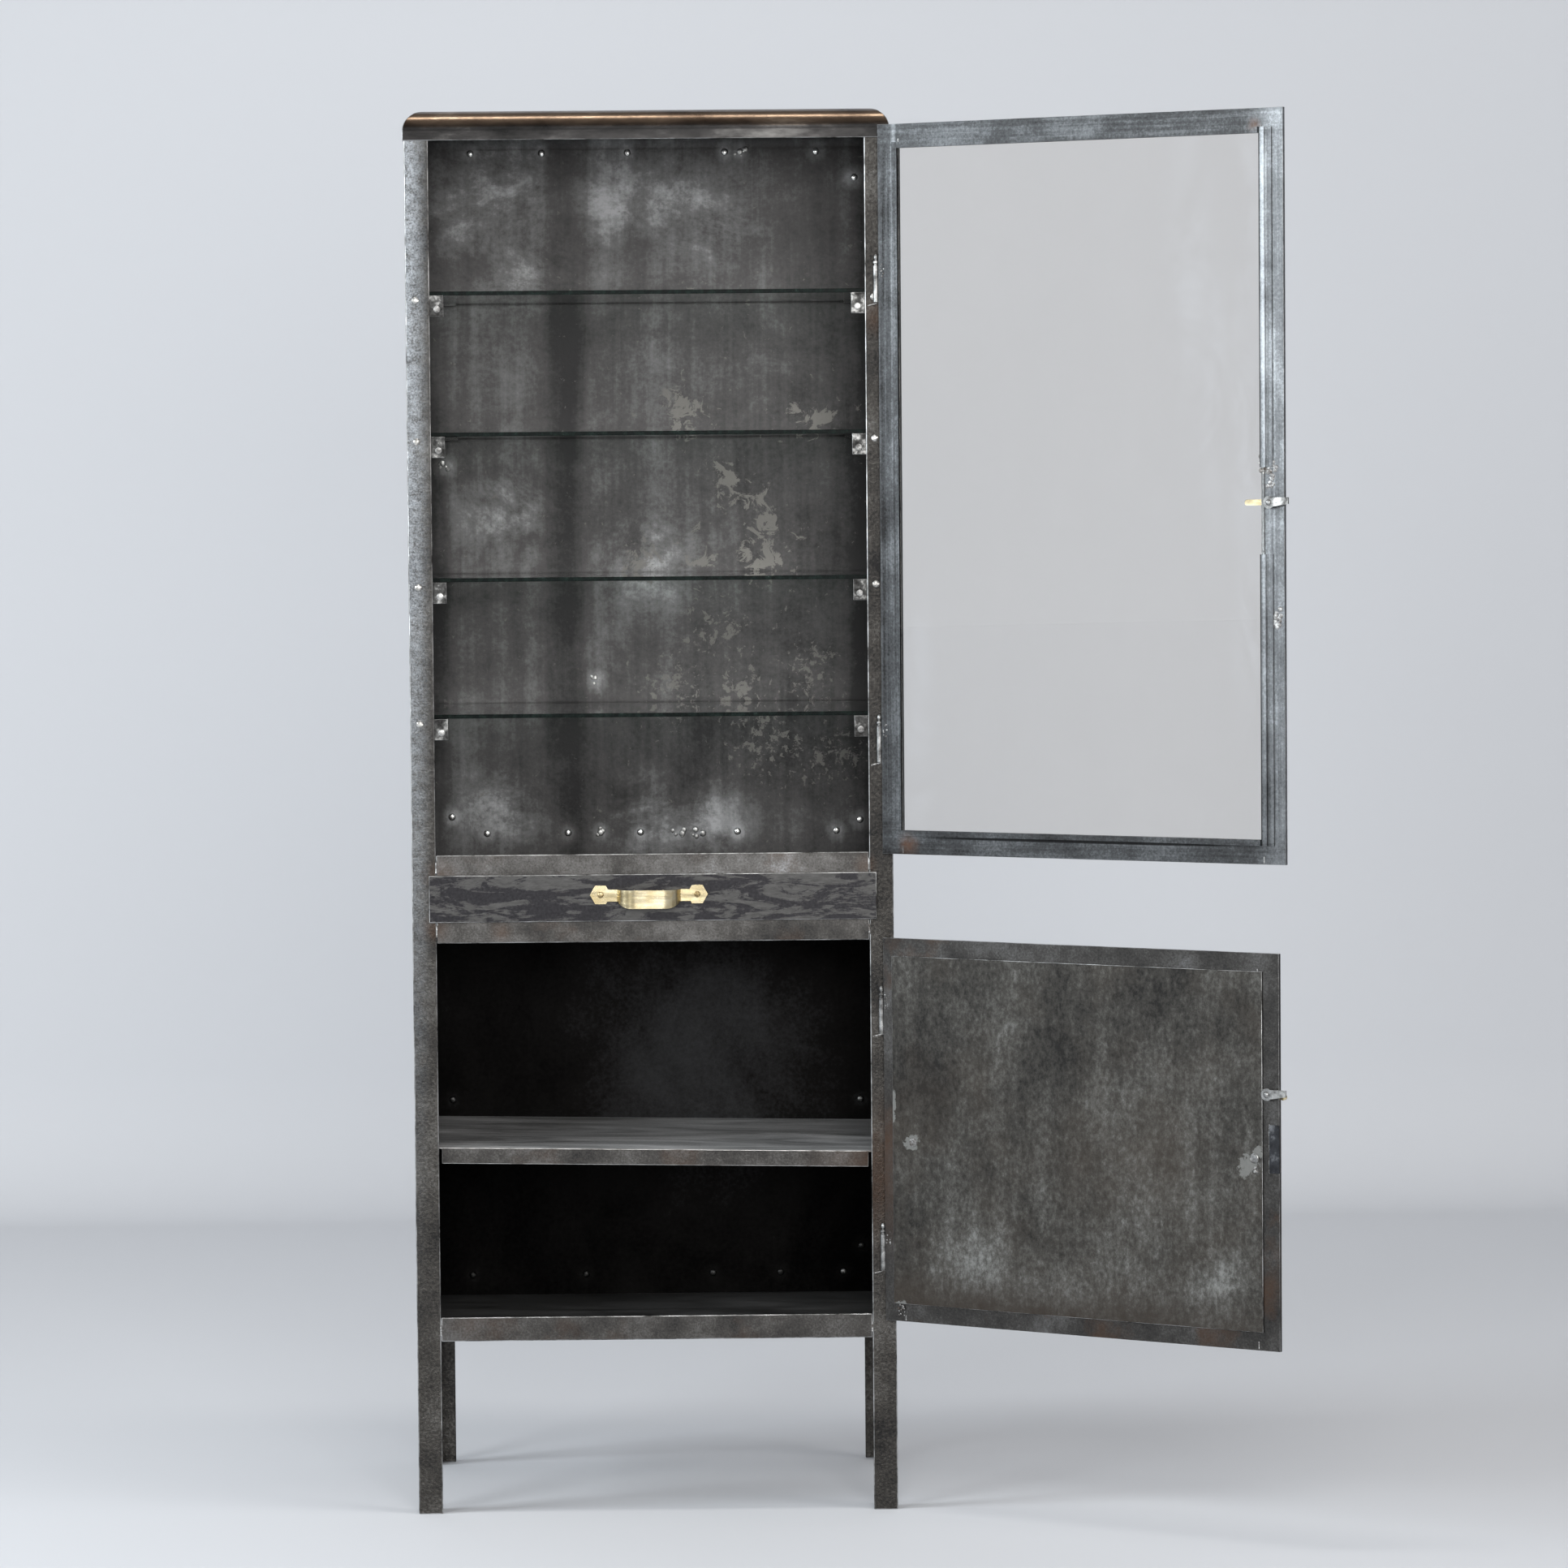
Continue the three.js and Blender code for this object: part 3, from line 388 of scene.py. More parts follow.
def lower_steel():
    material, tree, shader, place = new_material("lower_steel", 1.0)
    smears = noise(tree, stretched(tree, place, (8, 8, 6)), 1.0, 8, 0.68, 0.5)
    fine = noise(tree, place, 180, 5, 0.72)
    # Painted highlight: a pale glint round each rivet, and a broad pool of painted light low in the middle
    # of the panel.
    glint = weighted(tree, (back_spots(tree, place, [(x, z, 18) for x, z in LOWER_RIVETS]), 0.10),
                     (back_spots(tree, place, [(70, 520, 280)]), 0.22))
    tone = maths(tree, "ADD", weighted(tree, (smears, 0.42), (fine, 0.25)), glint)
    colour = ramp(tree, tone, (0.27, (0.0018, 0.0017, 0.0017)), (0.42, (0.0065, 0.0062, 0.006)),
                  (0.66, (0.036, 0.0365, 0.038)))
    wire(tree, shader, colour, ramp(tree, tone, (0.3, 0.45), (0.6, 0.55)))
    raise_surface(tree, shader, fine, 0.2, 0.0006)
    return material


def wiped_steel(name, light):
    material, tree, shader, place = new_material(name, 0.25)
    wiped = noise(tree, stretched(tree, place, (4, 16, 6), turn=(0, 0, 0.5)), 1.0, 7, 0.64, 0.7)
    fine = noise(tree, place, 300, 4, 0.7)
    tone = weighted(tree, (wiped, 0.85), (fine, 0.2))
    shades = [(grey * light,) * 3 for grey in (0.10, 0.27, 0.50)]
    colour = ramp(tree, tone, *zip((0.38, 0.55, 0.75), shades))
    wire(tree, shader, colour, ramp(tree, tone, (0.4, 0.42), (0.7, 0.58)))
    raise_surface(tree, shader, fine, 0.2, 0.0005)
    return material


def drawer_steel():
    material, tree, shader, place = new_material("drawer_steel", 0.8)
    brushed = stretched(tree, place, (13, 1, 52), turn=(0, 0.42, 0))
    patches = noise(tree, brushed, 1.0, 9, 0.62, 1.0)
    fine = noise(tree, place, 260, 5, 0.7)
    ragged = weighted(tree, (patches, 1.0), (noise(tree, brushed, 7.0, 5, 0.7), 0.22), (fine, 0.10))
    mask = ramp(tree, ragged, (0.655, 0.0), (0.71, 1.0))
    dark = ramp(tree, fine, (0.3, (0.014, 0.0135, 0.0155)), (0.7, (0.030, 0.029, 0.032)))
    strokes = noise(tree, brushed, 5.0, 6, 0.65)
    light = ramp(tree, strokes, (0.3, (0.046, 0.045, 0.044)), (0.7, (0.092, 0.090, 0.088)))
    wire(tree, shader, mixed(tree, mask, dark, light), ramp(tree, mask, (0.0, 0.36), (1.0, 0.46)))
    raise_surface(tree, shader, weighted(tree, (fine, 0.6), (mask, 0.25)), 0.2, 0.0005)
    return material


def door_panel_steel():
    material, tree, shader, place = new_material("door_panel_steel", 0.7)
    clouds = noise(tree, place, 9, 9, 0.68, 0.3)
    drips = noise(tree, stretched(tree, place, (36, 36, 5)), 1.0, 6, 0.64)
    flecks = noise(tree, stretched(tree, place, (1, 1, 0.8)), 150, 7, 0.78)
    # Wear lightens the lower middle of the panel; painted shade darkens its top.
    wear_and_shade = weighted(tree, (spots(tree, place, PANEL_WEAR, ALL_ROUND), 0.055),
                    (spots(tree, place, PANEL_SHADE, ALL_ROUND), -0.075))
    tone = maths(tree, "ADD", weighted(tree, (clouds, 0.36), (drips, 0.24), (flecks, 0.52)), wear_and_shade)
    colour = ramp(tree, tone, (0.43, (0.011, 0.0102, 0.0092)), (0.54, (0.042, 0.039, 0.0345)),
                  (0.62, (0.084, 0.081, 0.074)), (0.74, (0.22, 0.22, 0.21)))
    brown = ramp(tree, noise(tree, place, 6, 6, 0.6), (0.46, 0.0), (0.70, 0.4))
    colour = mixed(tree, brown, colour, (0.050, 0.038, 0.028))
    broken = ramp(tree, clouds, (0.35, 0.2), (0.6, 1.0))
    foot = maths(tree, "MULTIPLY", spots(tree, place, PANEL_FOOT, BY_HEIGHT), broken)
    colour = mixed(tree, foot, colour, (0.034, 0.026, 0.020))
    torn = noise(tree, place, 75, 6, 0.7, 0.5)
    strip = spots(tree, place, PANEL_STRIP, (1, 1, 0.25))
    patches = maths(tree, "MAXIMUM", spots(tree, place, PANEL_BARE, ALL_ROUND), strip)
    ground = weighted(tree, (patches, 0.42), (torn, 0.8))
    colour = mixed(tree, ramp(tree, ground, (0.66, 0.0), (0.70, 0.75)), colour, (0.19, 0.19, 0.18))
    wire(tree, shader, colour, ramp(tree, clouds, (0.3, 0.52), (0.7, 0.38)))
    raise_surface(tree, shader, weighted(tree, (flecks, 1.0), (clouds, 0.8)), 0.4, 0.0008)
    return material


def cap_steel():
    material, tree, shader, place = new_material("cap_steel", 0.9)
    clouds = noise(tree, stretched(tree, place, (9, 9, 26)), 1.0, 8, 0.66)
    height = shader_node(tree, "SeparateXYZ", {"Vector": place}).outputs["Z"]
    rise = maths(tree, "ADD", height, maths(tree, "MULTIPLY", clouds, 0.008))
    inputs = {"Value": rise, "From Min": CAP_BROWN_Z, "From Max": CAP_BROWN_Z + CAP_BROWN_BLEND}
    share = shader_node(tree, "MapRange", inputs, interpolation_type="SMOOTHSTEP").outputs["Result"]
    grey = ramp(tree, clouds, (0.35, (0.003, 0.003, 0.003)), (0.52, (0.0105, 0.010, 0.010)),
                (0.72, (0.042, 0.041, 0.040)))
    brown = ramp(tree, clouds, (0.35, (0.055, 0.035, 0.023)), (0.55, (0.165, 0.116, 0.080)),
                 (0.75, (0.44, 0.345, 0.26)))
    wire(tree, shader, mixed(tree, share, grey, brown), ramp(tree, clouds, (0.3, 0.30), (0.7, 0.15)))
    raise_surface(tree, shader, noise(tree, place, 300, 4, 0.7), 0.12, 0.0005)
    return material


def plain_metal(name, stops, rough_stops, scale, bumpiness):
    material, tree, shader, place = new_material(name, 0.95)
    wear = noise(tree, place, scale, 6, 0.66)
    wire(tree, shader, ramp(tree, wear, *stops), ramp(tree, wear, *rough_stops))
    raise_surface(tree, shader, wear, bumpiness, 0.0006)
    return material


def brass():
    material, tree, shader, place = new_material("brass", 1.0)
    polish = noise(tree, stretched(tree, place, (25, 60, 190)), 1.0, 4, 0.6)
    tarnish = noise(tree, place, 60, 6, 0.65)
    colour = ramp(tree, tarnish, (0.32, (0.68, 0.55, 0.30)), (0.50, (0.83, 0.70, 0.43)),
                  (0.7, (0.92, 0.83, 0.60)))
    wire(tree, shader, colour, ramp(tree, polish, (0.3, 0.28), (0.7, 0.16)))
    raise_surface(tree, shader, polish, 0.08, 0.0003)
    return material


GLASS_IOR = 1.5


# Glass that lamps shine through without a hard shadow
def clear_glass(name, tint, density, clean, smudged):
    material, tree, shader, place = new_material(name)
    smears = noise(tree, stretched(tree, place, (1, 1, 0.5)), 13, 7, 0.64, 0.8)
    tree.links.new(ramp(tree, smears, (0.56, clean), (0.8, smudged)), shader.inputs["Roughness"])
    wiped = ramp(tree, smears, (0.40, 0.0), (0.62, 1.0))
    film = maths(tree, "MULTIPLY", spots(tree, place, PANE_SMEARS, (1, 1, 0.14)), wiped)
    tinted = ramp(tree, smears, (0.35, tint), (0.70, tuple(part + 0.012 for part in tint)))
    tree.links.new(mixed(tree, film, tinted, (0.985, 0.975, 0.96)), shader.inputs["Base Color"])
    shader.inputs["Transmission Weight"].default_value = 1.0
    shader.inputs["IOR"].default_value = GLASS_IOR
    clear = shader_node(tree, "BsdfTransparent", {"Color": (0.98, 0.985, 0.98, 1)})
    path = shader_node(tree, "LightPath").outputs["Is Shadow Ray"]
    both = shader_node(tree, "MixShader", {0: path, 1: shader.outputs["BSDF"], 2: clear.outputs["BSDF"]})
    output = tree.nodes["Material Output"]
    tree.links.new(both.outputs["Shader"], output.inputs["Surface"])
    if density:
        body = shader_node(tree, "VolumeAbsorption", {"Color": (0.30, 0.60, 0.48, 1), "Density": density})
        tree.links.new(body.outputs["Volume"], output.inputs["Volume"])
    return material


# Cut edge of a glass sheet, made opaque and nearly black: painted shade that stands in for how the edge
# looks through the glass from the front
def dark_glass(name):
    material, tree, shader, place = new_material(name)
    chips = noise(tree, place, 120, 6, 0.7)
    colour = ramp(tree, chips, (0.45, (0.002, 0.004, 0.0035)), (0.66, (0.010, 0.018, 0.015)),
                  (0.74, (0.10, 0.13, 0.12)))
    wire(tree, shader, colour, ramp(tree, chips, (0.3, 0.25), (0.7, 0.45)))
    shader.inputs["Specular IOR Level"].default_value = 0.05
    return material


# Marks on the back panels, in millimetres across, up and in reach: painted shade, painted light, and flaked
# and crackled paint
BACK_SHADE = [(-114, 1250, 48), (-292, 1200, 35), (292, 1200, 45)]
BACK_GLOW = [(-200, 1665, 130), (-165, 1580, 105), (-240, 1620, 95), (-37, 1656, 95),
             (30, 1655, 95), (90, 1620, 70), (-190, 1240, 110), (-10, 1190, 90),
             (-10, 850, 90), (70, 850, 70), (-200, 860, 80)]
BACK_FLAKES = [(40, 1377, 65), (103, 1281, 60), (-20, 1187, 60), (60, 1186, 60),
               (150, 1190, 75), (145, 1235, 60), (215, 1370, 60), (135, 1262, 50)]
BACK_CRACKLE = [(26, 1020, 80), (110, 1010, 80), (207, 1040, 70), (80, 1095, 80),
                (150, 940, 90), (230, 920, 70)]

# Marks on the frame and the cap, in metres: a painted highlight on the left post and along the middle rail,
# painted shade on the right post, and rust
POST_LIGHT = [((-0.297, 0, 1.66), 0.030)]
POST_DARK = [((0.284, 0, 1.40), 0.022)]
RAIL_LIGHT = [((0, 0, 0.811), 0.035)]
FRAME_RUST = [((0.284, -0.2, 0.42), 0.13), ((-0.272, -0.2, 0.735), 0.025), ((-0.265, -0.2, 0.80), 0.03),
              ((0.284, -0.2, 1.49), 0.03), ((-0.19, -0.2, 0.73), 0.02), ((0.265, -0.2, 0.81), 0.02)]
CAP_BROWN_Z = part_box("top_cap")[1].z - 18 * MM
CAP_BROWN_BLEND = 10 * MM

# Marks on the upper door: smears on the pane, painted highlights and painted shade on the stiles and the
# bead, a painted shadow above the bottom rail, a painted dark reflection along the bead's glass edge, and
# rust
PANE_SMEARS = door_marks("upper_door", 0, (520, 1580, 34), (516, 1330, 42), (518, 1100, 34),
                         (440, 1560, 46), (470, 1390, 34), (60, 1000, 30))
STILE_LIGHT = door_marks("upper_door", 2, (552, 1720, 45))
HINGE_LIGHT = door_marks("upper_door", 2, (27, 1500, 6))
HINGE_SHADE = door_marks("upper_door", 2, (10, 1300, 17))
BEAD_LIGHT = door_marks("upper_door", 6, (538, 1500, 6.5))
BEAD_RIM = door_marks("upper_door", 6, (532.8, 1300, 2.6))
DOOR_SPAN = door_marks("upper_door", 2, (288, 850, 262))
SEAM_SHADE = [((0, 0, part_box("upper_door_frame")[0].z + 21.5 * MM), 2.5 * MM)]
DOOR_RAILS = [((0, 0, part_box("upper_door_frame")[end].z), 0.075) for end in (0, 1)]
DOOR_RUST = door_marks("upper_door", 2, (525, 1708, 12), (42, 837, 20))

# Marks on the lower door: wear, painted shade towards the top, bare patches, a darker foot and a bare strip
PANEL_WEAR = door_marks("lower_door", 4, (135, 316, 110), (250, 290, 100), (400, 400, 120),
                        (456, 300, 120), (412, 540, 110), (330, 330, 110))
PANEL_SHADE = door_marks("lower_door", 4, (250, 600, 130), (110, 640, 130), (400, 660, 120),
                         (60, 580, 110), (20, 330, 80), (500, 640, 90))
PANEL_BARE = door_marks("lower_door", 4, (45, 466, 26), (522, 462, 32), (534, 480, 18), (30, 258, 20))
PANEL_FOOT = [((0, 0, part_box("lower_door_panel")[0].z), 55 * MM)]
PANEL_STRIP = door_marks("lower_door", 4, (18, 508, 11))

post_finish = hammered_steel()
# Three copies of one steel that differ in brightness: the frame painted lighter, the sides less and the
# lower door's frame darker, painted light and shade for how each part is lit; the lower door's frame is also
# more rusted.
frame_finish = frame_steel("frame_steel", 1.3)
side_finish = frame_steel("side_steel", 1.1)
lower_door_finish = frame_steel("lower_door_steel", 0.95, 1.0)
upper_door_finish = upper_door_steel("upper_door_steel", 0.0)
# The bead's copy takes a painted highlight along its cover (gleam); the frame's copy has none.
bead_finish = upper_door_steel("bead_steel", 0.16)
edge_finish = worn_edge()
back_finish = back_steel()
lower_finish = lower_steel()
# Lit and shaded copies of one steel: the shelf is painted lighter and the lower floor darker.
shelf_finish = wiped_steel("shelf_steel", 1.6)
floor_finish = wiped_steel("floor_steel", 0.34)
drawer_finish = drawer_steel()
panel_finish = door_panel_steel()
cap_finish = cap_steel()
bright_finish = plain_metal(
    "bright_steel",
    [(0.34, (0.16, 0.155, 0.145)), (0.52, (0.42, 0.415, 0.40)), (0.7, (0.66, 0.66, 0.65))],
    [(0.3, 0.42), (0.7, 0.22)], 120, 0.25)
turned_finish = plain_metal(
    "turned_steel",
    [(0.36, (0.09, 0.088, 0.086)), (0.5, (0.25, 0.25, 0.245)), (0.68, (0.52, 0.52, 0.51))],
    [(0.3, 0.45), (0.7, 0.24)], 90, 0.3)
# Darkened steel for the shelf clips and the lower rivets: painted shade, for parts that sit in shadow.
shaded_clip_finish = plain_metal(
    "shaded_clip_steel",
    [(0.40, (0.018, 0.0175, 0.017)), (0.53, (0.055, 0.055, 0.054)), (0.68, (0.26, 0.26, 0.255))],
    [(0.3, 0.5), (0.7, 0.32)], 90, 0.35)
patch_finish = plain_metal(
    "patch_steel",
    [(0.38, (0.026, 0.0265, 0.029)), (0.56, (0.050, 0.052, 0.057)), (0.70, (0.22, 0.225, 0.235))],
    [(0.3, 0.40), (0.7, 0.28)], 60, 0.35)
bare_finish = plain_metal(
    "bare_steel",
    [(0.38, (0.30, 0.28, 0.26)), (0.50, (0.66, 0.65, 0.63)), (0.62, (0.90, 0.89, 0.87))],
    [(0.3, 0.5), (0.7, 0.36)], 40, 0.2)
rivet_finish = plain_metal(
    "rivet_steel",
    [(0.36, (0.42, 0.415, 0.405)), (0.52, (0.80, 0.795, 0.785)), (0.68, (0.93, 0.93, 0.92))],
    [(0.3, 0.30), (0.7, 0.16)], 120, 0.25)
weld_finish = plain_metal(
    "weld_metal",
    [(0.36, (0.07, 0.055, 0.045)), (0.5, (0.24, 0.235, 0.23)), (0.66, (0.55, 0.55, 0.54))],
    [(0.3, 0.5), (0.7, 0.26)], 150, 0.6)
screw_brass = plain_metal(
    "screw_brass",
    [(0.36, (0.16, 0.11, 0.055)), (0.5, (0.34, 0.26, 0.13)), (0.68, (0.62, 0.51, 0.30))],
    [(0.3, 0.45), (0.7, 0.25)], 150, 0.3)
brass_finish = brass()
shelf_glass = clear_glass("shelf_glass", (0.97, 0.985, 0.975), 5.0, 0.0, 0.05)
edge_glass = dark_glass("shelf_edge")
pane_glass = clear_glass("pane_glass", (0.91, 0.89, 0.865), 0.0, 0.0, 0.04)


# Pieces

def place_piece(name, mesh, body):
    piece = bpy.data.objects.new(name, mesh)
    bpy.context.scene.collection.objects.link(piece)
    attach(piece, body)
    return piece


# Finishes of a skin, by number: its sheet, its worn edges, and its other faces
SHEET, EDGE, OTHER = range(3)


# The cut rim of a sheet is another finish
def rim_apart(normal, centre, middle):
    return OTHER if abs(normal.z) < 0.5 else SHEET


# A folded lip is another finish, and its fold is worn
def lip_apart(normal, centre, middle):
    return OTHER if abs(normal.z) < 0.25 else EDGE if abs(normal.z) < 0.95 else SHEET


# Faces that look towards the middle of their own piece are another finish
def inside_apart(normal, centre, middle):
    return OTHER if normal.dot(centre - middle) < 0 else SHEET


# Faces of a wall that look away from the cabinet's upright axis are another finish
def outside_apart(normal, centre, middle):
    return OTHER if normal.x * middle.x + normal.y * middle.y > 0.5 * middle.xy.length else SHEET


# A finer copy of a solid with eased edges, worn bright; picked faces may have another finish
def skin(node, finish, edge=None, width=EDGE_WEAR, other=None, pick=None):
    mesh = frame["nodes"][node].data.copy()
    mesh.materials.clear()
    for material in (finish, edge or finish, other or finish):
        mesh.materials.append(material)
    low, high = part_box(node)
    middle = (low + high) / 2
    shape = bmesh.new()
    shape.from_mesh(mesh)
    bmesh.ops.remove_doubles(shape, verts=shape.verts, dist=1e-6)
    bmesh.ops.dissolve_limit(shape, angle_limit=FLAT_ANGLE, verts=shape.verts, edges=shape.edges)
    for face in shape.faces:
        face.smooth = True
        face.material_index = pick(face.normal, face.calc_center_median(), middle) if pick else SHEET
    shape.to_mesh(mesh)
    shape.free()
    if "custom_normal" in mesh.attributes:
        mesh.attributes.remove(mesh.attributes["custom_normal"])
    mesh.set_sharp_from_angle(angle=CREASE_ANGLE)
    piece = place_piece(node + "_skin", mesh, body_of[node])
    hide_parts(node)
    if edge:
        ease = piece.modifiers.new("eased edges", "BEVEL")
        ease.width = width
        ease.segments = 2
        ease.limit_method = "ANGLE"
        ease.angle_limit = EASED_ANGLE
        ease.material = EDGE
        shading = piece.modifiers.new("even shading", "WEIGHTED_NORMAL")
        shading.keep_sharp = True
    return piece


def skin_all():
    for node in body_of:
        slot = slots[node]
        if node == "upper_door_pane":
            skin(node, pane_glass)
        elif slot == "glass":
            skin(node, shelf_glass, edge_glass, FINE_EDGE, edge_glass, rim_apart)
        elif slot == "brass":
            skin(node, brass_finish, brass_finish, FINE_EDGE)
        elif "clip" in node:
            skin(node, shaded_clip_finish, turned_finish, FINE_EDGE)
        elif slot == "bright_steel":
            skin(node, turned_finish, bright_finish if "tongue" in node else None, FINE_EDGE)
        elif node == "top_cap":
            skin(node, cap_finish, edge_finish, EDGE_WEAR, back_finish, inside_apart)
        elif node.endswith("panel_upper"):
            skin(node, back_finish, other=side_finish, pick=outside_apart)
        elif node == "upper_floor":
            skin(node, back_finish)
        elif node == "lower_floor":
            skin(node, floor_finish)
        elif node.endswith("panel_lower"):
            skin(node, lower_finish, other=side_finish, pick=outside_apart)
        elif node == "drawer_tray":
            skin(node, side_finish, edge_finish, FINE_EDGE)
        elif node == "steel_shelf":
            skin(node, shelf_finish, bare_finish, EDGE_WEAR, frame_finish, lip_apart)
        elif node == "drawer_front":
            skin(node, drawer_finish, edge_finish)
        elif node == "lower_door_panel":
            skin(node, panel_finish, edge_finish, EDGE_WEAR / 2)
        elif node == "upper_door_frame":
            skin(node, upper_door_finish, edge_finish, FINE_EDGE)
        elif node == "upper_door_bead":
            # Painted shade: the bead's faces towards the glass take the near-black lower steel, a dark line
            # along the glass edge.
            skin(node, bead_finish, other=lower_finish, pick=inside_apart)
        elif node == "lower_door_frame":
            skin(node, lower_door_finish, edge_finish, FINE_EDGE)
        elif node.startswith("post"):
            skin(node, post_finish, edge_finish)
        else:
            skin(node, frame_finish, edge_finish)


# Frame of a small piece that stands on a face
def on_face(place, normal):
    return Matrix.Translation(place) @ Vector(normal).to_track_quat("Z", "Y").to_matrix().to_4x4()


# How finely round pieces are divided
DOME_RINGS = 5
ROUND_SIDES = 20


# Closed round piece turned about its own +Z, from rings of radius and height that end on the axis
def add_turned(shape, rings, where):
    rows = []
    for radius, height in rings:
        row = []
        for side in range(ROUND_SIDES):
            turn = side / ROUND_SIDES * math.tau
            corner = Vector((radius * math.cos(turn), radius * math.sin(turn), height))
            row.append(shape.verts.new(where @ corner))
        rows.append(row)
    for low, high in zip(rows, rows[1:]):
        for side in range(ROUND_SIDES):
            after = (side + 1) % ROUND_SIDES
            shape.faces.new((low[side], low[after], high[after], high[side]))
    shape.faces.new(rows[0][::-1])
    shape.faces.new(rows[-1])


def dome_rings(radius, height):
    turns = [step / DOME_RINGS * math.pi / 2 for step in range(DOME_RINGS)]
    return [(radius * math.cos(turn), height * math.sin(turn)) for turn in turns]


def add_dome(shape, radius, height, where):
    add_turned(shape, dome_rings(radius, height), where)


# Round screw head with a slot across it: two halves of a dome on a flat disc
def add_screw(shape, radius, height, where):
    turned = where @ Matrix.Rotation(chance.uniform(0, math.pi), 4, "Z")
    half_slot = radius * 0.17
    floor = height * 0.35
    add_turned(shape, [(radius, 0), (radius, floor), (radius * 0.98, floor * 1.02)], turned)
    rings = [(radius, 0)] + [(r, floor + h) for r, h in dome_rings(radius, height - floor)]
    for side in (-1, 1):
        half = bmesh.new()
        add_turned(half, rings, Matrix())
        parts = half.verts[:] + half.edges[:] + half.faces[:]
        cut = bmesh.ops.bisect_plane(
            half, geom=parts, plane_co=(side * half_slot, 0, 0), plane_no=(1, 0, 0),
            clear_inner=side > 0, clear_outer=side < 0)
        edges = [part for part in cut["geom_cut"] if isinstance(part, bmesh.types.BMEdge)]
        bmesh.ops.holes_fill(half, edges=edges)
        half.transform(turned)
        mesh = bpy.data.meshes.new("half_head")
        half.to_mesh(mesh)
        half.free()
        shape.from_mesh(mesh)
        bpy.data.meshes.remove(mesh)


# Row of small overlapping lumps from one point to another
def add_weld(shape, start, end, normal, radius=WELD_RADIUS):
    count = max(2, round((end - start).length / (radius * 0.9)))
    for step in range(count):
        size = radius * chance.uniform(0.75, 1.15)
        add_dome(shape, size, size * 0.65, on_face(start.lerp(end, step / (count - 1)), normal))


# Scattered drops round a point, within the two given half sides
def add_drops(shape, place, half_sides, normal, count, largest, flat=0.5):
    for _ in range(count):
        shift = sum((side * chance.uniform(-1, 1) for side in half_sides), Vector())
        size = largest * chance.uniform(0.35, 1.0)
        add_dome(shape, size, size * flat, on_face(place + shift, normal))


def add_group(name, shape, body, finish):
    bmesh.ops.recalc_face_normals(shape, faces=shape.faces)
    for face in shape.faces:
        face.smooth = True
    mesh = bpy.data.meshes.new(name)
    shape.to_mesh(mesh)
    shape.free()
    mesh.materials.append(finish)
    mesh.set_sharp_from_angle(angle=CREASE_ANGLE)
    return place_piece(name, mesh, body)


# Slotted screws on the front posts, one beside each shelf clip; the lowest on the right is missing
def add_post_screws():
    shape = bmesh.new()
    for side, shift, first in (("left", LEFT_SCREW_SHIFT, 1), ("right", RIGHT_SCREW_SHIFT, 2)):
        low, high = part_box(f"post_front_{side}")
        x = (low.x + high.x) / 2 + shift
        for number in range(first, 5):
            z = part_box(f"shelf_clip_{number}_{side}")[0].z + SCREW_ABOVE_CLIP
            add_screw(shape, SCREW_RADIUS, SCREW_HEIGHT, on_face((x, low.y, z), -Y))
    add_group("post_screws", shape, "cabinet", bright_finish)


# Flat rivet heads on the part of each clip that shows beside its post
def add_clip_rivets():
    shape = bmesh.new()
    for number in range(1, 5):
        for side in ("left", "right"):
            low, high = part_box(f"shelf_clip_{number}_{side}")
            x = high.x - CLIP_RIVET_INSET if side == "left" else low.x + CLIP_RIVET_INSET
            where = on_face((x, low.y, low.z + CLIP_RIVET_RISE), -Y)
            add_dome(shape, CLIP_RIVET_RADIUS, CLIP_RIVET_HEIGHT, where)
    add_group("clip_rivets", shape, "cabinet", turned_finish)


# Rivets that hold the back panels: domed heads inside, flat ends outside, and hammered dents
def add_back_rivets():
    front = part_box("back_panel_lower")[0].y
    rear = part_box("back_panel_lower")[1].y
    # The lower rivets take the darkened clip steel: painted shade in the darker lower compartment.
    rows = (("upper", UPPER_RIVETS, rivet_finish), ("lower", LOWER_RIVETS, shaded_clip_finish))
    for level, places, finish in rows:
        shape = bmesh.new()
        for x, z in places:
            add_dome(shape, RIVET_RADIUS, RIVET_HEIGHT, on_face((x * MM, front, z * MM), -Y))
            add_dome(shape, RIVET_RADIUS * 0.8, RIVET_HEIGHT * 0.5, on_face((x * MM, rear, z * MM), Y))
        add_group(level + "_back_rivets", shape, "cabinet", finish)
    dents = bmesh.new()
    for x, z in UPPER_DENTS:
        spread = [X * DENT_RADIUS, Z * DENT_RADIUS * 0.6]
        add_drops(dents, Vector((x * MM, front, z * MM)), spread, -Y, 5, DENT_RADIUS * 0.55, 0.22)
    add_group("back_dents", dents, "cabinet", turned_finish)


# Screws in the middle of the pull's two hexagon plates
def add_pull_screws():
    shape = bmesh.new()
    low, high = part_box("drawer_pull")
    inset = PULL_PLATE_HALF * 2 / math.sqrt(3)
    for x in (low.x + inset, high.x - inset):
        where = on_face((x, high.y - PULL_PLATE_THICK, high.z - PULL_PLATE_HALF), -Y)
        add_screw(shape, PULL_SCREW_RADIUS, PULL_SCREW_HEIGHT, where)
    add_group("pull_screws", shape, "drawer", screw_brass)


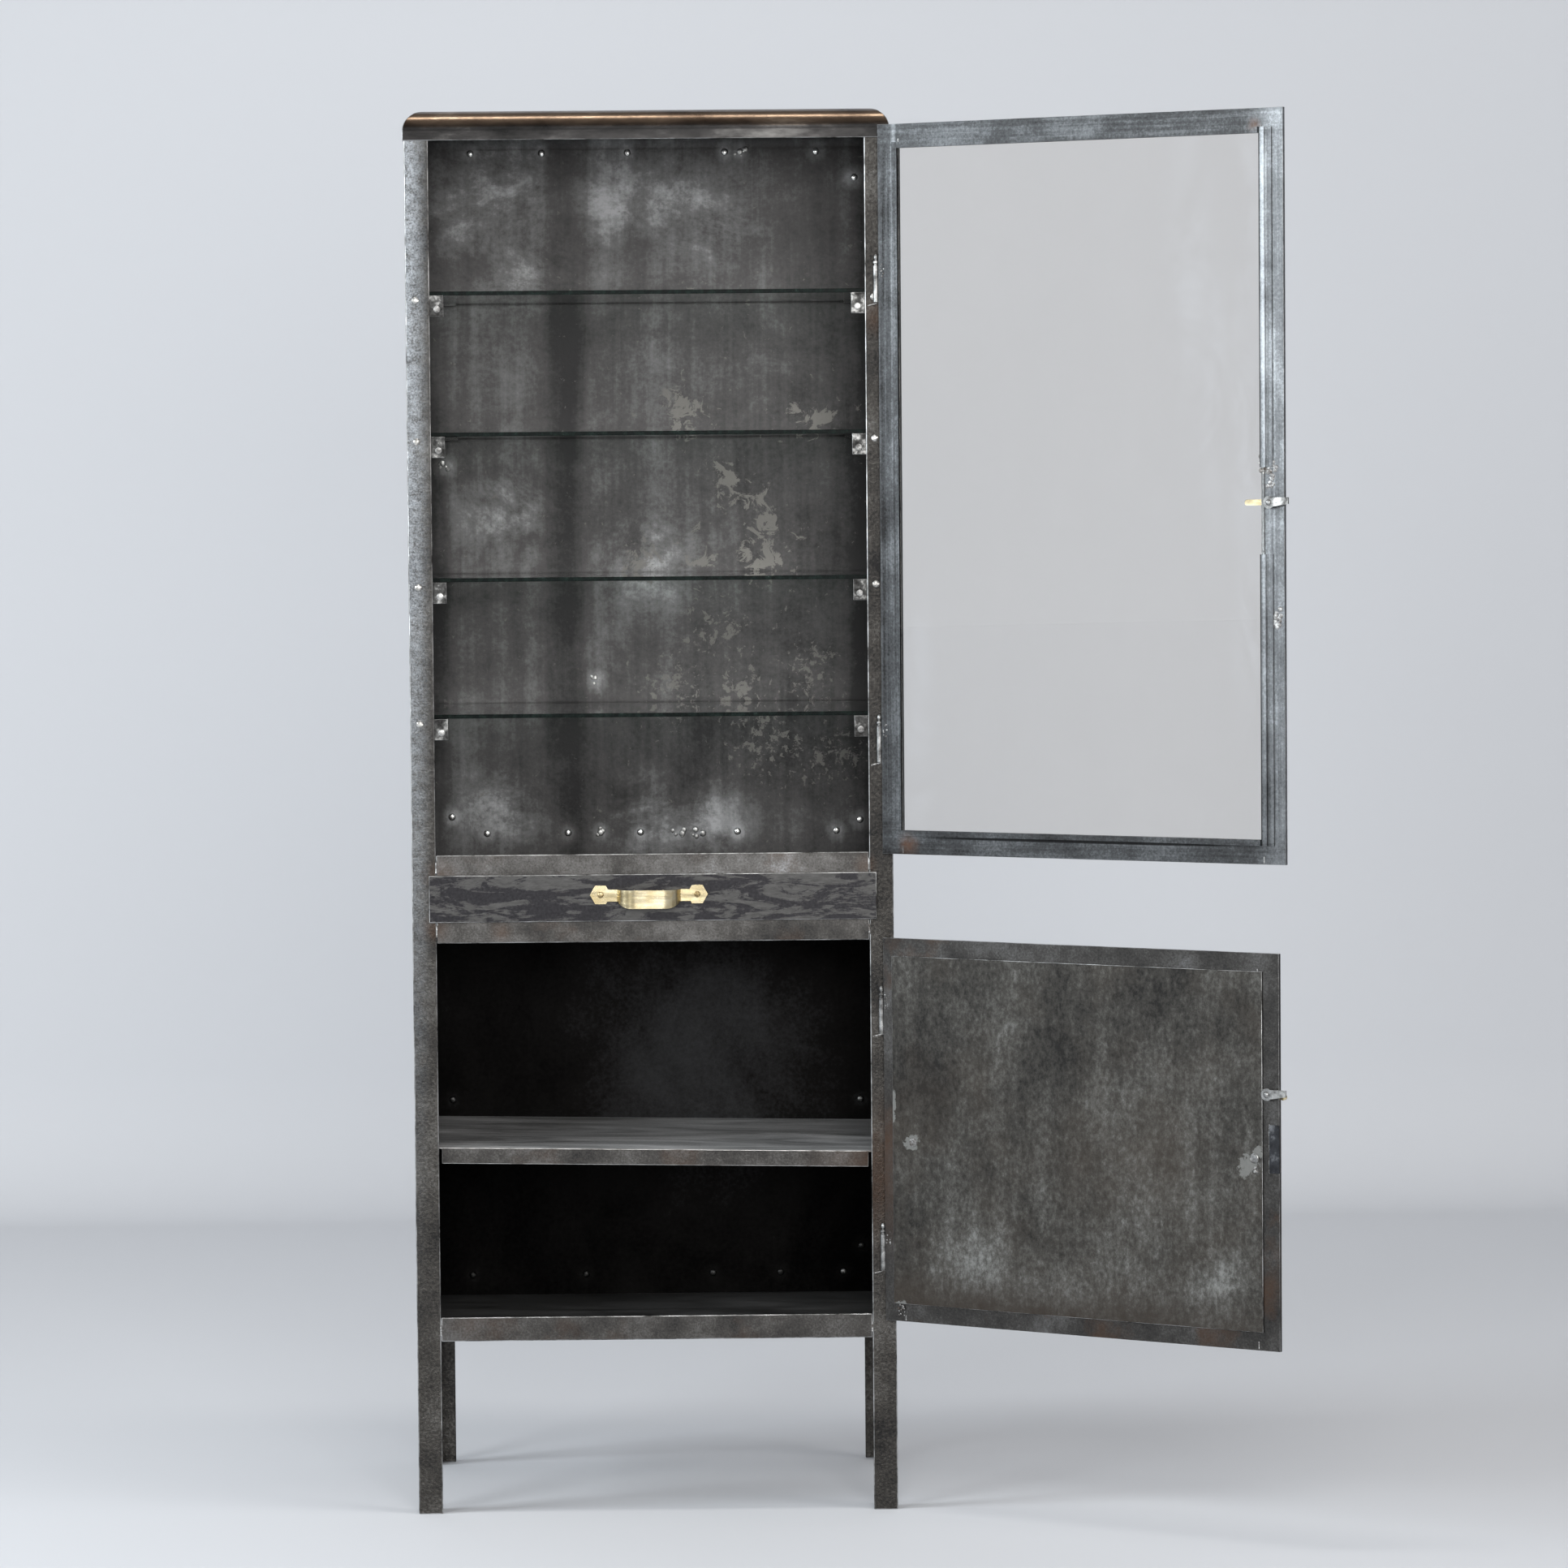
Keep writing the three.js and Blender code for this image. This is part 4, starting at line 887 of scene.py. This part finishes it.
# Riveted spindle ends on the latch tongues
def add_tongue_rivets():
    for level in ("upper", "lower"):
        shape = bmesh.new()
        turn = joints[level + "_latch_turn"]
        inward = door_axes(level + "_door")[2]
        face = Vector(turn["pos_m"]) + inward * TONGUE_FACE
        dome = dome_rings(TONGUE_DOME_RADIUS, TONGUE_DOME_HEIGHT)
        rings = [(TONGUE_RIVET_RADIUS, 0), (TONGUE_RIVET_RADIUS, TONGUE_RIVET_COLLAR)]
        rings += [(r, TONGUE_RIVET_COLLAR + h) for r, h in dome]
        add_turned(shape, rings, on_face(face, inward))
        add_group(level + "_tongue_rivet", shape, level + "_latch", turned_finish)


# How far the welds keep from the long edges of the rails, where the drawer's front lies over them
DRAWER_ROOM = 8 * MM

# Length of the weld beside a hinge's pin half, and the ends of the one under it
PIN_WELD_LENGTH = 22 * MM
PIN_WELD_INSET = 0.5 * MM
PIN_BASE_START = (6 * MM, 4 * MM)
PIN_BASE_END = (2 * MM, 1 * MM)


# Welds on the frame: rail ends and the pin halves of the hinges
def add_frame_welds():
    shape = bmesh.new()
    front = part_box("front_mid_rail")[0].y
    for rail in ("front_bottom_rail", "front_mid_rail", "front_drawer_rail"):
        low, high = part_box(rail)
        for x in (low.x, high.x):
            start = Vector((x, front, low.z + DRAWER_ROOM))
            end = Vector((x, front, high.z - DRAWER_ROOM * chance.uniform(1.0, 1.5)))
            add_weld(shape, start, end, -Y, WELD_RADIUS * 0.7)
    for node in body_of:
        if "hinge_pin" in node:
            low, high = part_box(node)
            x = high.x - PIN_WELD_INSET
            start = Vector((x, front, low.z))
            end = Vector((x, front, low.z + PIN_WELD_LENGTH))
            add_weld(shape, start, end, -Y, WELD_RADIUS * 0.8)
            start = Vector((low.x - PIN_BASE_START[0], front, low.z - PIN_BASE_START[1]))
            end = Vector((high.x - PIN_BASE_END[0], front, low.z - PIN_BASE_END[1]))
            add_weld(shape, start, end, -Y, WELD_RADIUS * 0.7)
    add_group("frame_welds", shape, "cabinet", weld_finish)


# Inner faces of a door's frame and of the lower door's panel, in millimetres out from the hinge's plane
FRAME_FACE = 2.1
PANEL_FACE = 3.9

# Welds on a door, in millimetres: drops beside a sleeve, and beads where rails and stiles meet
SLEEVE_DROPS_REACH = 9
SLEEVE_DROPS_RISE = 12
SLEEVE_DROPS_HALF = (3, 9)
SLEEVE_DROPS_COUNT = 9
SLEEVE_DROP_RADIUS = 1.3
JOINT_REACH = 34
JOINT_FROM_FREE_EDGE = 31
RAIL_HEIGHT = 30
JOINT_WELD_START = 2
JOINT_WELD_ENDS = (7, 12)


# Welds on a door: beside the hinge sleeves, and at its corners
def add_door_welds(door):
    shape = bmesh.new()
    hinge, along, inward = door_axes(door)
    low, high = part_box(door + "_frame")
    for node in bodies[door]:
        if "sleeve" in node:
            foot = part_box(node)[0].z / MM
            place = on_door(door, SLEEVE_DROPS_REACH, foot + SLEEVE_DROPS_RISE, FRAME_FACE)
            spread = [axis * half * MM for axis, half in zip((along, Z), SLEEVE_DROPS_HALF)]
            add_drops(shape, place, spread, inward, SLEEVE_DROPS_COUNT, SLEEVE_DROP_RADIUS * MM)
    far = (Vector((high.x, low.y, 0)) - hinge).length / MM - JOINT_FROM_FREE_EDGE
    for reach in (JOINT_REACH, far):
        for z in (low.z / MM, high.z / MM - RAIL_HEIGHT):
            start = on_door(door, reach, z + JOINT_WELD_START, FRAME_FACE)
            end = on_door(door, reach, z + chance.uniform(*JOINT_WELD_ENDS), FRAME_FACE)
            add_weld(shape, start, end, inward, WELD_RADIUS * 0.5)
    add_group(door + "_welds", shape, door, weld_finish)


# Chips on the upper door's stile: millimetres from the hinge, up, half wide and half tall, and how many
STILE_CHIPS = ((540, 1303, 8, 10, 26), (546, 1288, 6, 14, 18), (552, 1118, 6, 14, 24))
CHIP_RADIUS = 3.4 * MM
CHIP_FLATNESS = 0.18


# Chipped filler on the upper door's stile, above and below the latch
def add_stile_chips():
    shape = bmesh.new()
    _, along, inward = door_axes("upper_door")
    for reach, height, wide, tall, count in STILE_CHIPS:
        place = on_door("upper_door", reach, height, FRAME_FACE)
        spread = [along * wide * MM, Z * tall * MM]
        add_drops(shape, place, spread, inward, count, CHIP_RADIUS, CHIP_FLATNESS)
    add_group("stile_chips", shape, "upper_door", weld_finish)


# Flat plate with eased corners that lies on a door; gives the ends of its long edge towards the hinge
def add_door_plate(shape, door, reach, height, face, size, thick):
    _, along, inward = door_axes(door)
    turn = Matrix((along, Z, inward)).transposed().to_4x4()
    where = Matrix.Translation(on_door(door, reach, height, face + thick / 2)) @ turn
    sides = Matrix.Diagonal((size[0] * MM, size[1] * MM, thick * MM, 1))
    made = bmesh.ops.create_cube(shape, size=1.0, matrix=where @ sides)
    edges = {edge for vert in made["verts"] for edge in vert.link_edges}
    bmesh.ops.bevel(shape, geom=list(edges), offset=PLATE_EASE, segments=2, affect="EDGES")
    low = on_door(door, reach - size[0] / 2, height - size[1] / 2, face)
    high = on_door(door, reach - size[0] / 2, height + size[1] / 2, face)
    return low, high


# Mended places on the lower door, by millimetres from the hinge and above the floor
PATCH_PLACE = (556.5, 484)
PATCH_SIZE = (14, 58)
PATCH_THICK = 0.9
PATCH_BEAD_RADIUS = 0.8 * MM
PLUG_PLACE = (530, 472)
PLUG_RINGS = ((6, 0), (6, 0.9), (5, 1.5), (4.4, 1.0), (1.5, 1.2))
BOSS_PLACE = (47, 465)
BOSS_RINGS = ((5.5, 0), (5, 0.8), (3, 1.0), (2.4, 0.3))

# Spatter on the lower door: millimetres from the hinge, up, half wide and half tall, how many, and how large
PANEL_SPATTER = ((532, 459, 2, 4, 6, 2.2), (28, 254, 5, 7, 14, 1.6))


# Round piece on the lower door's panel, from rings in millimetres
def add_panel_boss(shape, place, rings):
    where = on_face(on_door("lower_door", *place, PANEL_FACE), door_axes("lower_door")[2])
    add_turned(shape, [(radius * MM, height * MM) for radius, height in rings], where)


# Mended places on the lower door: a let-in plate under the latch, a plug, a boss and spatter
def add_lower_door_marks():
    _, along, inward = door_axes("lower_door")
    plate = bmesh.new()
    low, high = add_door_plate(plate, "lower_door", *PATCH_PLACE, FRAME_FACE, PATCH_SIZE, PATCH_THICK)
    add_group("latch_patch", plate, "lower_door", patch_finish)
    plug = bmesh.new()
    add_panel_boss(plug, PLUG_PLACE, PLUG_RINGS)
    add_group("panel_plug", plug, "lower_door", turned_finish)
    spatter = bmesh.new()
    add_panel_boss(spatter, BOSS_PLACE, BOSS_RINGS)
    for reach, height, wide, tall, count, largest in PANEL_SPATTER:
        place = on_door("lower_door", reach, height, PANEL_FACE)
        add_drops(spatter, place, [along * wide * MM, Z * tall * MM], inward, count, largest * MM)
    add_weld(spatter, low, high, inward, PATCH_BEAD_RADIUS)
    add_group("panel_spatter", spatter, "lower_door", weld_finish)


skin_all()
add_post_screws()
add_clip_rivets()
add_back_rivets()
add_pull_screws()
add_tongue_rivets()
add_frame_welds()
for door_name in ("upper_door", "lower_door"):
    add_door_welds(door_name)
add_stile_chips()
add_lower_door_marks()


# Stage: a pale floor that sweeps up into a wall

def build_stage():
    shape = bmesh.new()
    profile = [(-FLOOR_REACH, 0.0)]
    for step in range(SWEEP_STEPS + 1):
        turn = step / SWEEP_STEPS * math.pi / 2
        profile.append((WALL_Y - SWEEP_RADIUS * (1 - math.sin(turn)), SWEEP_RADIUS * (1 - math.cos(turn))))
    profile.append((WALL_Y, WALL_HEIGHT))
    rows = [[shape.verts.new((x, y, z)) for y, z in profile] for x in (-FLOOR_REACH, FLOOR_REACH)]
    for index in range(len(profile) - 1):
        shape.faces.new((rows[0][index], rows[1][index], rows[1][index + 1], rows[0][index + 1]))
    for face in shape.faces:
        face.smooth = True
    mesh = bpy.data.meshes.new("studio_sweep")
    shape.to_mesh(mesh)
    shape.free()
    material, tree, shader, _ = new_material("studio_paint")
    shader.inputs["Base Color"].default_value = PAINT_COLOUR
    shader.inputs["Roughness"].default_value = PAINT_ROUGHNESS
    # Seen from behind, the backdrop is clear, so that it never hides the cabinet
    behind = shader_node(tree, "NewGeometry").outputs["Backfacing"]
    clear = shader_node(tree, "BsdfTransparent")
    both = shader_node(tree, "MixShader", {0: behind, 1: shader.outputs["BSDF"], 2: clear.outputs["BSDF"]})
    tree.links.new(both.outputs["Shader"], tree.nodes["Material Output"].inputs["Surface"])
    mesh.materials.append(material)
    sweep = bpy.data.objects.new("studio_sweep", mesh)
    bpy.context.scene.collection.objects.link(sweep)


def add_lamp(name, place, target, size, power, colour):
    light = bpy.data.lights.new(name, "AREA")
    light.shape = "RECTANGLE"
    light.size, light.size_y = size
    light.energy = power
    light.color = colour
    lamp = bpy.data.objects.new(name, light)
    lamp.location = place
    lamp.rotation_euler = (Vector(target) - Vector(place)).to_track_quat("-Z", "Y").to_euler()
    lamp.visible_camera = False
    bpy.context.scene.collection.objects.link(lamp)
    return lamp


# A lamp that is kept out of one pane, where it would show as a white block
def shade_pane(lamp, pane):
    lit = bpy.data.collections.new(lamp.name + "_shaded")
    lit.objects.link(pane)
    lit.collection_objects[0].light_linking.link_state = "EXCLUDE"
    lamp.light_linking.receiver_collection = lit


# Tints of the lamps: cool on the left, nearly white in front and warm on the right
COOL = (0.88, 0.95, 1.0)
FAINTLY_COOL = (0.92, 0.97, 1.0)
FAINTLY_WARM = (1.0, 0.99, 0.97)
CEILING_TINT = (1.0, 0.98, 0.95)
WARM = (1.0, 0.97, 0.94)


# Soft studio light: each lamp by its place, its target, its sides in metres and its power in watts
def light_stage():
    world = bpy.data.worlds.new("studio")
    world.use_nodes = True
    background = world.node_tree.nodes["Background"]
    background.inputs["Color"].default_value = AIR_COLOUR
    background.inputs["Strength"].default_value = AIR_STRENGTH
    bpy.context.scene.world = world
    add_lamp("left_window", (-3.6, -1.2, 2.1), (0.0, -0.2, 1.2), (1.3, 2.4), 98, COOL)
    add_lamp("left_front", (-3.4, -4.7, 2.2), (0.3, -0.3, 1.1), (1.6, 2.2), 106, FAINTLY_COOL)
    softbox = add_lamp("front_softbox", (0.6, -6.6, 1.9), (0, 0, 0.9), (2.6, 1.6), 128, FAINTLY_WARM)
    shade_pane(softbox, bpy.data.objects["upper_door_pane_skin"])
    add_lamp("front_high", (0.3, -4.4, 3.3), (0, -0.1, 0.6), (1.6, 1.0), 36, FAINTLY_WARM)
    add_lamp("ceiling_strip", (0.0, -0.5, 4.6), (0, -0.2, 1.7), (2.4, 0.4), 40, CEILING_TINT)
    add_lamp("right_fill", (4.0, -2.5, 2.6), (0, 0, 0.9), (2.0, 2.0), 44, WARM)


def aim_camera():
    data = bpy.data.cameras.new("camera")
    data.sensor_width = SENSOR_WIDTH
    data.lens = FOCAL_PIXELS / IMAGE_PIXELS * SENSOR_WIDTH
    camera = bpy.data.objects.new("camera", data)
    camera.location = CAMERA_PLACE
    heading = Matrix.Rotation(math.radians(-CAMERA_YAW), 4, "Z")
    tilt = Matrix.Rotation(math.radians(90 - CAMERA_PITCH), 4, "X")
    roll = Matrix.Rotation(math.radians(CAMERA_ROLL), 4, "Z")
    camera.rotation_euler = (heading @ tilt @ roll).to_euler()
    bpy.context.scene.collection.objects.link(camera)
    bpy.context.scene.camera = camera


build_stage()
light_stage()
aim_camera()
bpy.context.scene.view_settings.view_transform = "Standard"
